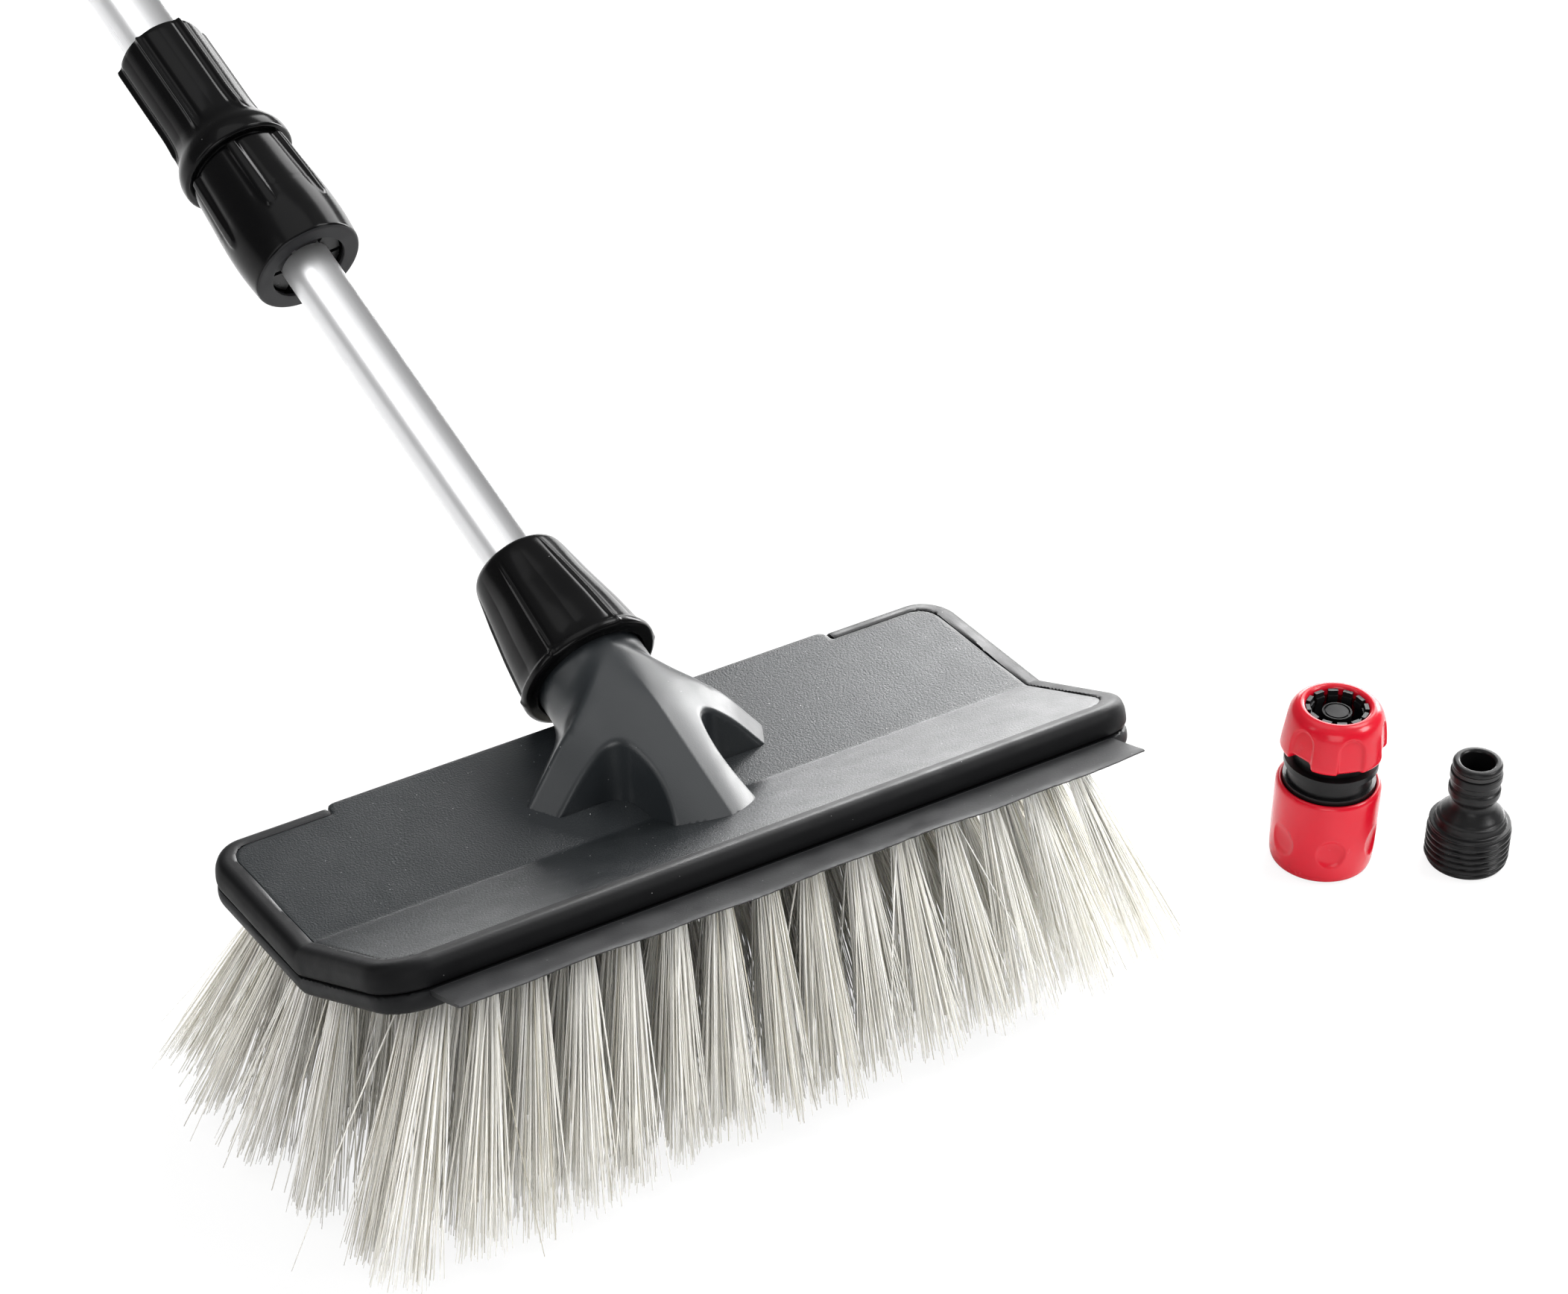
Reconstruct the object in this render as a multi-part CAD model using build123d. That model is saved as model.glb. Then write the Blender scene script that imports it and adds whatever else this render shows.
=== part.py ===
"""Water-fed wash brush on a telescopic pole, with a loose hose connector and threaded adaptor.

Millimetres. +Z is up, +X runs along the brush, +Y points towards the pole, so the front
is -Y. The origin is on the ground, straight below the point where the pole axis meets the
top of the brush block. Pole parts are drawn about Z, with z measured along the pole axis
from that point, then placed with ON_POLE.
"""
from build123d import *
import math
import os

os.makedirs("parts", exist_ok=True)

# ---------------------------------------------------------------- shared dimensions
HEIGHT = 81.3            # block top above the ground
POLE_ANGLE = 18.7        # pole above the block's top plane, degrees
BLOCK_MID_X = -3.0
BLOCK_HALF = 254.0 / 2   # ten inch brush
CREASE_Y = -10.7         # line where the front band starts to rise
BACK_Y = 40.1            # rear border of the block's corners
BACK_MID_Y = 45.0        # rear edge between the bumper's ends
BAND_ANGLE = 25.5        # rise of the front band, degrees
BAND_LENGTH = 47.3
BACK_TAPER = 1.6         # each end steps in by this much at the rear
FRONT_TAPER = 1.0        # and by this much at the front
SHELL_DEPTH = 9.0        # underside of the shell, below the block top
BOARD_DEPTH = 15.5       # underside of the tuft board, below the block top
BUMPER_OUT = 6.2
BUMPER_END_X = 90.0

WATER_R = 5.0
NECK_TIP = 62.0          # end of the tower's threaded neck
NUT_BOTTOM, NUT_TOP = 46.3, 92.5
NUT_RIM_R = 22.9

INNER_OD, INNER_ID = 16.5, 14.1
OUTER_OD, OUTER_ID = 20.0, 17.4
INNER_START, INNER_END = 67.0, 67.0 + 575.0
OUTER_START, OUTER_END = 290.0, 290.0 + 600.0
RUN = 0.05               # radial running clearance

HOSE_THREAD_MAJOR = 26.99   # 3/4 inch garden hose thread, 11.5 turns per inch
HOSE_THREAD_MINOR = 24.60
HOSE_THREAD_PITCH = 2.209

pole_rad = math.radians(POLE_ANGLE)
band_rad = math.radians(BAND_ANGLE)
pole_plane = Plane(origin=(0, 0, HEIGHT), x_dir=(1, 0, 0),
                   z_dir=(0, math.cos(pole_rad), math.sin(pole_rad)))
ON_POLE = pole_plane.location
AT_CONNECTOR = Pos(223.4, -43.3, 0)
AT_ADAPTOR = Pos(262.4, -68.8, 0)

# directions up the front band and out of its top face
band_along = Vector(0, -math.cos(band_rad), math.sin(band_rad))
band_normal = Vector(0, math.sin(band_rad), math.cos(band_rad))


# ---------------------------------------------------------------- helpers
def save(name, shape):
    export_step(shape, f"parts/{name}.step")


def polygon(points):
    return make_face(Polyline(*points, close=True))


def turned(profile):
    """Turn a closed (radius, z) outline about Z."""
    return revolve(polygon([(r, 0, z) for r, z in profile]), Axis.Z, 360)


def rod(radius, z0, z1):
    return Pos(0, 0, z0) * Cylinder(radius, z1 - z0,
                                    align=(Align.CENTER, Align.CENTER, Align.MIN))


def ring(r_in, r_out, z0, z1):
    return rod(r_out, z0, z1) - rod(r_in, z0 - 1, z1 + 1)


def around(count, shape, start=0):
    """Copies of a shape evenly spaced about Z, from a start angle in degrees."""
    return [Rot(0, 0, start + 360 / count * k) * shape for k in range(count)]


def cut_each(body, tools):
    for tool in tools:
        body = body - tool
    return body


def bar_along_x(yz_points, x_start, length):
    """Extrude a closed (y, z) outline along +X."""
    face = polygon([(x_start, y, z) for y, z in yz_points])
    return extrude(face, amount=length, dir=(1, 0, 0))


def rounded_outline(points, radii):
    """Closed wire through points, with each corner rounded by its radius."""
    count = len(points)
    edges, joins = [], []
    for i in range(count):
        before, corner, after = (Vector(*points[(i + k) % count]) for k in (-1, 0, 1))
        radius = radii[i]
        if radius <= 0:
            joins.append((corner, corner))
            continue
        to_before = (before - corner).normalized()
        to_after = (after - corner).normalized()
        half_angle = math.acos(max(-1, min(1, to_before.dot(to_after)))) / 2
        setback = radius / math.tan(half_angle)
        arc_start = corner + to_before * setback
        arc_end = corner + to_after * setback
        inward = (to_before + to_after).normalized()
        arc_mid = corner + inward * (radius / math.sin(half_angle)) - inward * radius
        edges.append(Edge.make_three_point_arc(arc_start, arc_mid, arc_end))
        joins.append((arc_start, arc_end))
    for i in range(count):
        line_start, line_end = joins[i][1], joins[(i + 1) % count][0]
        if (line_start - line_end).length > 1e-6:
            edges.append(Edge.make_line(line_start, line_end))
    return Wire.combine(edges)[0]


def bent_plate(grow, back_y, depth0, depth1, r_back, r_front):
    """The bent block between two depths below its top, grown outward."""
    half = BLOCK_HALF + grow
    half_back = half - BACK_TAPER
    half_front = half - FRONT_TAPER
    thickness = depth1 - depth0

    # flat rear part
    outline = [(-half, CREASE_Y, 0), (half, CREASE_Y, 0),
               (half_back, back_y, 0), (-half_back, back_y, 0)]
    face = Face(rounded_outline(outline, [0, 0, r_back, r_back]))
    rear = Pos(BLOCK_MID_X, 0, HEIGHT - depth0) * extrude(face, amount=thickness, dir=(0, 0, -1))

    # rising front band, drawn flat, then tilted about the crease
    length = BAND_LENGTH + grow
    outline = [(half, 0, 0), (-half, 0, 0), (-half_front, -length, 0), (half_front, -length, 0)]
    face = Face(rounded_outline(outline, [0, 0, r_front, r_front]))
    front = Pos(0, 0, -depth0) * extrude(face, amount=thickness, dir=(0, 0, -1))
    front = Pos(BLOCK_MID_X, CREASE_Y, HEIGHT) * (Rot(-BAND_ANGLE, 0, 0) * front)

    # wedge under the crease: at each depth, the rear side, the mitre and the front side
    def crease_points(depth):
        return [(CREASE_Y, HEIGHT - depth),
                (CREASE_Y - depth * math.tan(band_rad / 2), HEIGHT - depth),
                (CREASE_Y - depth * math.sin(band_rad), HEIGHT - depth * math.cos(band_rad))]

    upper, lower = crease_points(depth0), crease_points(depth1)
    section = [upper[0]] + lower
    if depth0 > 0:
        section += [upper[2], upper[1]]
    wedge = bar_along_x(section, BLOCK_MID_X - half, 2 * half)
    return rear + front + wedge


# ---------------------------------------------------------------- block and gasket
SHELL_CORNERS = (7, 10)  # rear and front corner radii
CHAMBER_Y = 13.5
CHAMBER_CEILING = 3.2
GASKET_THICK = 1.2

nut_relief = ON_POLE * rod(NUT_RIM_R + 1.0, NUT_BOTTOM - 0.6, 90)
water_way = ON_POLE * rod(WATER_R, -16, 100)

chamber_height = SHELL_DEPTH - CHAMBER_CEILING
chamber = Pos(BLOCK_MID_X, CHAMBER_Y, HEIGHT - SHELL_DEPTH - 0.01 + chamber_height / 2) * Box(
    206, 34, chamber_height)
gasket = Pos(BLOCK_MID_X, CHAMBER_Y, HEIGHT - SHELL_DEPTH + GASKET_THICK / 2) * (
    Box(217, 45, GASKET_THICK) - Box(212, 40, 3))
# rear edge between the bumper's ends, overlapping the shell by 4
mid_back = Pos(BLOCK_MID_X, (BACK_Y + BACK_MID_Y) / 2 - 2, HEIGHT - SHELL_DEPTH / 2) * Box(
    2 * BUMPER_END_X, BACK_MID_Y - BACK_Y + 4, SHELL_DEPTH)

brush_block = bent_plate(0, BACK_Y, 0, SHELL_DEPTH, *SHELL_CORNERS) + mid_back
brush_block = cut_each(brush_block, [chamber, gasket, nut_relief, water_way])
save("brush_block", brush_block)
save("board_gasket", gasket)

# ---------------------------------------------------------------- bumper
# rubber strip round the front, the ends and the rear corners
FIT_GAP = 0.03
bumper = bent_plate(BUMPER_OUT, 44.6, 0, SHELL_DEPTH - 0.02, 12, 15) - bent_plate(
    FIT_GAP, BACK_Y + FIT_GAP, -3, SHELL_DEPTH + 3, *SHELL_CORNERS)
bumper = bumper - Pos(BLOCK_MID_X, 45, HEIGHT) * Box(2 * BUMPER_END_X + 0.2, 20, 60)
save("bumper", bumper)

# ---------------------------------------------------------------- squeegee blade
# gripped between bumper and board at the front edge
BLADE_THICK = 1.6
BLADE_OUT = 15.5
BLADE_LENGTH = 239.0
BLADE_ROOT = 5.0         # depth of the gripped part behind the lip
SLOT_GAP = 0.05
SLOT_END_GAP = 0.3
blade_rad = math.radians(17.0)

blade_along = Vector(0, -math.cos(blade_rad), math.sin(blade_rad))
blade_normal = Vector(0, math.sin(blade_rad), math.cos(blade_rad))
lip = (Vector(BLOCK_MID_X, CREASE_Y, HEIGHT) + band_along * (BAND_LENGTH + BUMPER_OUT - 0.2)
       - band_normal * (SHELL_DEPTH + 0.5))
root = lip - band_along * BLADE_ROOT
blade_tip = lip + blade_along * BLADE_OUT
blade_section = [root, root - band_normal * BLADE_THICK, lip - band_normal * BLADE_THICK,
                 blade_tip - blade_normal * (BLADE_THICK * 0.75),
                 blade_tip - blade_normal * 0.5, lip]
blade_start_x = BLOCK_MID_X - BLADE_LENGTH / 2
blade = bar_along_x([(p.Y, p.Z) for p in blade_section], blade_start_x, BLADE_LENGTH)
save("squeegee_blade", blade)

slot_back = root - band_along * 0.1
slot_mouth = lip + band_along * 9
slot_above = band_normal * SLOT_GAP
slot_below = band_normal * (BLADE_THICK + SLOT_GAP)
slot_section = [slot_back + slot_above, slot_back - slot_below,
                slot_mouth - slot_below, slot_mouth + slot_above]
blade_slot = bar_along_x([(p.Y, p.Z) for p in slot_section],
                         blade_start_x - SLOT_END_GAP, BLADE_LENGTH + 2 * SLOT_END_GAP)

# ---------------------------------------------------------------- tuft board
# below the shell, with a row of water jets under the chamber
JET_R = 0.8
JET_PITCH = 42
board = bent_plate(BUMPER_OUT - 0.5, 44.2, SHELL_DEPTH, BOARD_DEPTH, 10, 14)
jets = [Pos(BLOCK_MID_X + k * JET_PITCH, CHAMBER_Y, HEIGHT - 25) * Cylinder(JET_R, 40)
        for k in range(-2, 3)]
save("tuft_board", cut_each(board, [nut_relief, *jets, blade_slot]))

# ---------------------------------------------------------------- tower
NECK_R = 17.9
NECK_END = 48.6          # where the plain neck gives way to the thread
NECK_THREAD_R = 16.2
NECK_LOFT_Z = 36.0       # top of the loft, along the pole axis

# footprint (x, y): the front point and the +X side, front to rear
TOWER_FRONT = (0, -59.0)
TOWER_SIDE = [(18.5, -36.0), (36.6, 3.6), (42.2, 14.0), (39.0, 23.0), (17.9, 43.8)]
# neck section corners in degrees, one for each footprint corner
NECK_ANGLES = [0, 40, 75, 95, 115, 160, 200, 245, 265, 285, 320]
# cutaway (x, y) beside the front of the tower on the +X side
NOTCH = [(35.3, 4.3), (29.1, 3.7), (24.6, 2.7), (17.0, -0.9), (13.8, -5.0), (13.0, -11.8),
         (14.7, -23.1), (24, -60), (70, -60), (70, 4.3)]


def socket_tower():
    footprint = [TOWER_FRONT] + TOWER_SIDE + [(-x, y) for x, y in reversed(TOWER_SIDE)]
    base_face = polygon([(x, y, HEIGHT - 0.5) for x, y in footprint])
    neck_plane = Plane(origin=pole_plane.origin + pole_plane.z_dir * NECK_LOFT_Z,
                       x_dir=(1, 0, 0), z_dir=pole_plane.z_dir)
    neck_points = []
    for angle in map(math.radians, NECK_ANGLES):
        corner = Vector(1.06 * NECK_R * math.sin(angle), -1.12 * NECK_R * math.cos(angle), 0)
        neck_points.append(neck_plane.from_local_coords(corner))
    tower = loft([base_face, polygon(neck_points)], ruled=True)
    tower = tower + ON_POLE * rod(NECK_R, 18, 46.0)
    tower = tower + ON_POLE * rod(NECK_R - 0.1, 45, NECK_END)
    tower = tower + ON_POLE * rod(NECK_THREAD_R, NECK_END - 1, NECK_TIP)
    for side in (1, -1):
        notch_face = polygon([(side * x, y, HEIGHT - 10) for x, y in NOTCH])
        tower = tower - extrude(notch_face, amount=50, dir=(0, 0, 1))
    # seat the tower on the block
    tower = tower - bent_plate(30, BACK_MID_Y + 60, 0, 60, 0, 0)
    tower = tower - water_way
    return tower.solids().sort_by(SortBy.VOLUME)[-1]


save("socket_tower", socket_tower())

# ---------------------------------------------------------------- bristles
# Each row is one closed wedge from the board to the tips. Columns: root front and rear,
# tip y front and rear, root and tip half length in x, tip z front and rear.
# Band roots are measured up the band from the crease, flat roots are y.
BAND_ROWS = [
    (45.5, 36.5, -89.0, -69.5, 116, 143, 15.0, 6.0),
    (30.0, 21.0, -68.5, -46.0, 116, 144, 6.0, 0.0),
]
FLAT_ROWS = [
    (-9.5, -0.5, -45.0, -16.0, 116, 145, 0.0, 0.0),
    (5.5, 14.5, -15.0, 10.0, 116, 146, 0.0, 0.0),
    (19.0, 27.0, 11.0, 34.0, 115, 146, 0.0, 0.0),
    (32.0, 40.0, 35.0, 62.0, 113, 145, 0.0, 0.0),
]
ROOT_DEPTH = BOARD_DEPTH + 0.02


def band_root(distance):
    point = Vector(0, CREASE_Y, HEIGHT) + band_along * distance - band_normal * ROOT_DEPTH
    return point.Y, point.Z


def flat_root(y):
    return y, HEIGHT - ROOT_DEPTH


def strip_face(front, rear, half_length):
    """Four-sided face between two (y, z) lines along X."""
    x0, x1 = BLOCK_MID_X - half_length, BLOCK_MID_X + half_length
    return polygon([(x0, *front), (x1, *front), (x1, *rear), (x0, *rear)])


def bristle_rows(rows, root_point):
    wedges = []
    for root0, root1, tip_y0, tip_y1, root_half, tip_half, tip_z0, tip_z1 in rows:
        root_face = strip_face(root_point(root0), root_point(root1), root_half)
        tip_face = strip_face((tip_y0, tip_z0), (tip_y1, tip_z1), tip_half)
        wedges.append(loft([root_face, tip_face], ruled=True))
    return Compound(children=wedges)


save("front_bristles", bristle_rows(BAND_ROWS, band_root))
save("main_bristles", bristle_rows(FLAT_ROWS, flat_root))

# ---------------------------------------------------------------- union joint
FLANGE_TOP = NECK_TIP + 5
SEAT_R = 15.6            # outside of the washer and thrust ring
NARROW_BORE_R = 4.2      # bore of the ferrule and the guide bush

ferrule = rod(15.2, NECK_TIP + 2.05, FLANGE_TOP) + rod(INNER_ID / 2, FLANGE_TOP, NECK_TIP + 30)
ferrule = ferrule - rod(NARROW_BORE_R, NECK_TIP, NECK_TIP + 40)
save("union_washer", ON_POLE * ring(9.5, SEAT_R, NECK_TIP, NECK_TIP + 2))
save("tube_ferrule", ON_POLE * ferrule)
save("thrust_ring", ON_POLE * ring(INNER_OD / 2 + 0.25, SEAT_R, FLANGE_TOP + 0.05, NECK_TIP + 7.5))

# flared union nut, convex from its nose to its rim, with six shallow facets; (radius, z)
NUT_INSIDE_R = 16.3
NUT_BORE_R = INNER_OD / 2 + 0.35
UNION_NUT = [
    (NUT_INSIDE_R, NUT_BOTTOM + 4.6), (17.98, NUT_BOTTOM + 3.4), (18.5, NUT_BOTTOM),
    (21.6, NUT_BOTTOM), (NUT_RIM_R, NUT_BOTTOM + 0.8), (NUT_RIM_R, NUT_BOTTOM + 3.0),
    (21.6, NUT_BOTTOM + 3.4), (21.2, 54), (20.6, 58), (19.9, 63), (19.0, 68), (18.1, 73),
    (17.1, 78), (16.1, 83), (15.2, 87.5), (14.5, 90.6), (13.4, 92.0), (12.4, NUT_TOP),
    (NUT_BORE_R, NUT_TOP), (NUT_BORE_R, NECK_TIP + 7.6), (NUT_INSIDE_R, NECK_TIP + 7.6),
]
facet = Pos(0, -21.1, 50.4) * Rot(-11.5, 0, 0) * Pos(0, -4.0, 16) * Box(22, 8, 32)
save("union_nut", ON_POLE * cut_each(turned(UNION_NUT), around(6, facet, 43)))

# ---------------------------------------------------------------- tubes and guide bush
save("inner_tube", ON_POLE * ring(INNER_ID / 2, INNER_OD / 2, INNER_START, INNER_END))
save("outer_tube", ON_POLE * ring(OUTER_ID / 2, OUTER_OD / 2, OUTER_START, OUTER_END))

GUIDE_R = OUTER_ID / 2 - RUN
GROOVE_R = GUIDE_R - 1.8
GROOVE_WIDTH = 2.4
SEAL_GAP = 0.02
GROOVE_STARTS = (INNER_END + 3.5, INNER_END + 10.5)

bush = rod(INNER_ID / 2, INNER_END - 22, INNER_END) + rod(GUIDE_R, INNER_END, INNER_END + 18)
bush = cut_each(bush, [ring(GROOVE_R, GUIDE_R + 1, z, z + GROOVE_WIDTH) for z in GROOVE_STARTS])
bush = bush - rod(NARROW_BORE_R, INNER_END - 40, INNER_END + 40)
guide_seals = [ring(GROOVE_R, GUIDE_R + 0.02, z + SEAL_GAP, z + GROOVE_WIDTH - SEAL_GAP)
               for z in GROOVE_STARTS]
save("guide_bush", ON_POLE * bush)
save("guide_seals", ON_POLE * Compound(children=guide_seals))

# ---------------------------------------------------------------- twist lock
LOCK_BOTTOM = 221.8
LOCK_GAP = 266.7         # joint between twist nut and collar
COLLAR_TOP = 321.0
COLLAR_BORE_R = INNER_OD / 2 + 0.4
COLLAR_RIB_START = 283

# collar fixed on the outer tube: ribbed sleeve, skirt and spigot; (radius, z)
COLLAR = [
    (OUTER_OD / 2, COLLAR_TOP), (14.3, COLLAR_TOP), (14.7, COLLAR_TOP - 1.2), (14.7, 286),
    (15.2, 281), (16.4, 277.5), (18.3, 274.5), (19.2, 272), (19.4, 269.5), (19.2, 267.6),
    (18.5, LOCK_GAP), (16.4, LOCK_GAP), (16.4, 266.2), (15.6, 266.2), (15.6, 240),
    (13.2, 237.0), (12.4, 237.0), (COLLAR_BORE_R, 246.0), (COLLAR_BORE_R, OUTER_START),
    (OUTER_OD / 2, OUTER_START),
]
collar = turned(COLLAR)
collar_rib = Pos(0, -15.0, COLLAR_RIB_START) * Box(
    1.5, 1.8, COLLAR_TOP - COLLAR_RIB_START - 0.3, align=(Align.CENTER, Align.CENTER, Align.MIN))
for rib in around(6, collar_rib, 15):
    collar = collar + rib
save("lock_collar", ON_POLE * collar)

# twist nut: waisted barrel with six pointed ribs and a flat front ring; (radius, z)
TWIST_NUT = [
    (12.7, LOCK_BOTTOM), (17.7, LOCK_BOTTOM), (18.4, LOCK_BOTTOM + 0.7), (18.9, 227),
    (19.1, 232), (19.0, 238), (18.6, 246), (18.1, 254), (17.6, 262),
    (17.3, LOCK_GAP - 1.5), (16.9, LOCK_GAP - 0.9), (15.75, LOCK_GAP - 0.9),
    (15.75, 233.5), (14.2, 233.5), (12.7, 225.5),
]
# rib outline (x, y, z)
NUT_RIB = [(-1.7, 0, LOCK_GAP - 1.6), (1.7, 0, LOCK_GAP - 1.6), (1.9, 0, 246),
           (0, 0, 236.5), (-1.9, 0, 246)]
RIB_INNER_R, RIB_OUTER_R = 16.4, 19.2
twist_nut = turned(TWIST_NUT)
nut_rib = Pos(0, -RIB_INNER_R, 0) * extrude(polygon(NUT_RIB), amount=3.0, dir=(0, -1, 0))
for rib in around(6, nut_rib, -25):
    rib = rib - ring(RIB_OUTER_R, 40, 200, 300)
    twist_nut = twist_nut + (rib - rod(RIB_INNER_R, 200, 300))
save("twist_nut", ON_POLE * twist_nut)

# slotted collet that the nut squeezes onto the inner tube; (radius, z)
COLLET_BORE_R = INNER_OD / 2 + RUN
LOCK_COLLET = [
    (COLLET_BORE_R, 224.2), (12.3, 224.2), (12.3, 225.4), (14.0, 233.3), (14.0, 236.2),
    (12.0, 236.8), (10.6, 240.4), (9.4, 242.4), (COLLET_BORE_R, 242.4),
]
collet_slot = Pos(0, -12, 229) * Box(1.6, 12, 20)
save("lock_collet", ON_POLE * cut_each(turned(LOCK_COLLET), around(6, collet_slot, 20)))

# ---------------------------------------------------------------- hand grip
GRIP_START, GRIP_END = 753.0, 885.0
GRIP_GROOVE_PITCH = 8.4
# (radius, z)
GRIP = [
    (OUTER_OD / 2, GRIP_START), (13.6, GRIP_START), (14.4, GRIP_START + 1.5),
    (14.6, GRIP_START + 8), (14.2, GRIP_START + 30), (14.8, GRIP_START + 66),
    (14.2, GRIP_START + 100), (14.8, GRIP_END - 7), (15.6, GRIP_END - 3),
    (15.6, GRIP_END - 1), (15.0, GRIP_END), (OUTER_OD / 2, GRIP_END),
]
grip = turned(GRIP)
for k in range(12):
    z = GRIP_START + 14 + k * GRIP_GROOVE_PITCH
    grip = grip - ring(13.4, 20, z, z + 2.0)
save("hand_grip", ON_POLE * grip)

# ---------------------------------------------------------------- hose inlet
TAIL_END = 919.0
PLUG_R = OUTER_ID / 2
PLUG_GROOVE_R = PLUG_R - 1.6
PLUG_GROOVE_START, PLUG_GROOVE_END = OUTER_END - 16, OUTER_END - 13.6
WASHER_SEAT = TAIL_END - 15.5

inlet = rod(PLUG_R, OUTER_END - 26, OUTER_END) + rod(12.5, OUTER_END, OUTER_END + 9)
inlet = inlet + rod(17.0, OUTER_END + 6, TAIL_END)
inlet = inlet - rod(6.0, OUTER_END - 40, TAIL_END + 5)
inlet = inlet - rod(HOSE_THREAD_MINOR / 2, TAIL_END - 15, TAIL_END + 5)
# the washer sits in a wider recess under the thread
inlet = inlet - rod(13.3, WASHER_SEAT, TAIL_END - 12.5)
inlet = inlet - ring(PLUG_GROOVE_R, PLUG_R + 1, PLUG_GROOVE_START, PLUG_GROOVE_END)
flute = Pos(0, -17.9, OUTER_END + 16) * Cylinder(1.6, 26)
save("hose_inlet", ON_POLE * cut_each(inlet, around(12, flute)))
save("inlet_seal", ON_POLE * ring(PLUG_GROOVE_R, PLUG_R, PLUG_GROOVE_START + SEAL_GAP,
                                  PLUG_GROOVE_END - SEAL_GAP))
save("inlet_washer", ON_POLE * ring(7.0, 13.2, WASHER_SEAT, TAIL_END - 12.6))

# ---------------------------------------------------------------- hose connector
# stands upright on the ground, drawn about Z
# nut (radius, z)
HOSE_NUT = [
    (15.15, 0.0), (15.4, 0.15), (16.2, 1.2), (16.55, 3.0), (16.7, 12), (16.85, 22),
    (16.9, 28.4), (16.4, 29.4), (15.9, 29.7), (15.1, 29.7), (14.9, 29.0), (14.9, 4.4),
    (9.2, 3.0), (9.2, 0.0),
]
finger_dent = Pos(0, -23.4, 11.6) * Sphere(8.3)
save("hose_nut", AT_CONNECTOR * cut_each(turned(HOSE_NUT), around(6, finger_dent, 5)))

hose_collet = ring(9.4, 12.6, 4.6, 7.6) + ring(9.4, 11.0, 7.5, 17.5)
collet_slot = Pos(0, -10.5, 13.0) * Box(1.2, 8, 11)
save("hose_collet", AT_CONNECTOR * cut_each(hose_collet, around(8, collet_slot)))

# (radius, bottom z, top z)
CORE_STEPS = [(6.4, 5.0, 24.0), (14.8, 20.5, 31.0), (13.6, 31, 36.2), (15.1, 36.2, 38.2),
              (12.4, 38.2, 47.0)]
# water passage, valve chamber, seat, guide web, socket
CORE_BORES = [(4.4, 4, 24), (6.5, 23.5, 29.7), (5.2, 29.6, 33.0), (3.3, 32, 36),
              (8.5, 34.5, 51)]
BARB_STARTS = (6, 9, 12, 15)


def connector_core():
    core = rod(*CORE_STEPS[0])
    for step in CORE_STEPS[1:]:
        core = core + rod(*step)
    for z in BARB_STARTS:
        core = core + turned([(0, z), (6.9, z), (6.4, z + 2.6), (0, z + 2.6)])
    core = cut_each(core, [rod(*bore) for bore in CORE_BORES])
    web_port = Pos(0, -4.6, 34) * Cylinder(0.9, 4)
    core = cut_each(core, around(4, web_port))
    core = core - ring(8.4, 9.8, 40.5, 43.1)
    claw_slot = Pos(0, -10.2, 46.0) * Box(3.3, 4.4, 4.0)
    return cut_each(core, around(12, claw_slot))


save("connector_core", AT_CONNECTOR * connector_core())
save("connector_seal", AT_CONNECTOR * ring(8.2, 9.75, 40.55, 43.05))

# twelve small jaws that drop into the groove of the mating nipple
CLAW_WIDTH = 3.1
claw = (Pos(0, -9.28, 50.65) * Box(CLAW_WIDTH, 1.3, 13.1)
        + Pos(0, -10.0, 45.2) * Box(CLAW_WIDTH, 2.6, 2.2)
        + Pos(0, -8.45, 54.6) * Box(CLAW_WIDTH, 0.8, 2.0))
save("connector_claws", AT_CONNECTOR * Compound(children=around(12, claw)))

# sleeve (radius, z)
RELEASE_SLEEVE = [
    (12.6, 41.9), (16.3, 41.9), (17.0, 43.6), (16.6, 47), (16.0, 51), (15.3, 54),
    (14.2, 56.3), (12.6, 57.8), (11.4, 58.2), (10.5, 57.9), (10.1, 57.0), (10.1, 54.8),
    (11.2, 53.6), (12.6, 50.6),
]
scallop = Pos(0, -25.1, 44.0) * Rot(5, 0, 0) * Cylinder(9.6, 16)
save("release_sleeve", AT_CONNECTOR * cut_each(turned(RELEASE_SLEEVE), around(6, scallop, 15)))

plunger = rod(6.2, 28.0, 29.6) + rod(3.2, 29.6, 47.0) + rod(4.7, 47.0, 55.6)
plunger = plunger - ring(3.6, 4.2, 54.9, 57)
save("stop_plunger", AT_CONNECTOR * plunger)

SPRING_R, SPRING_WIRE_R = 4.55, 0.45
SPRING_BOTTOM, SPRING_TOP = 35.1, 46.4
SPRING_TURNS = 5
spring_height = SPRING_TOP - SPRING_BOTTOM
spring_path = Helix(pitch=spring_height / SPRING_TURNS, height=spring_height, radius=SPRING_R)
wire_section = Plane(origin=spring_path @ 0, z_dir=spring_path % 0) * Circle(SPRING_WIRE_R)
spring = Pos(0, 0, SPRING_BOTTOM) * sweep(wire_section, path=spring_path)
save("plunger_spring", AT_CONNECTOR * spring)

# ---------------------------------------------------------------- threaded adaptor
# stands upright on the ground; the thread is a stack of closed ridges
THREAD_START = 0.9
THREAD_RIDGES = 6
THREAD_ROOT_R = 12.55
THREAD_CREST_R = HOSE_THREAD_MAJOR / 2
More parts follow.
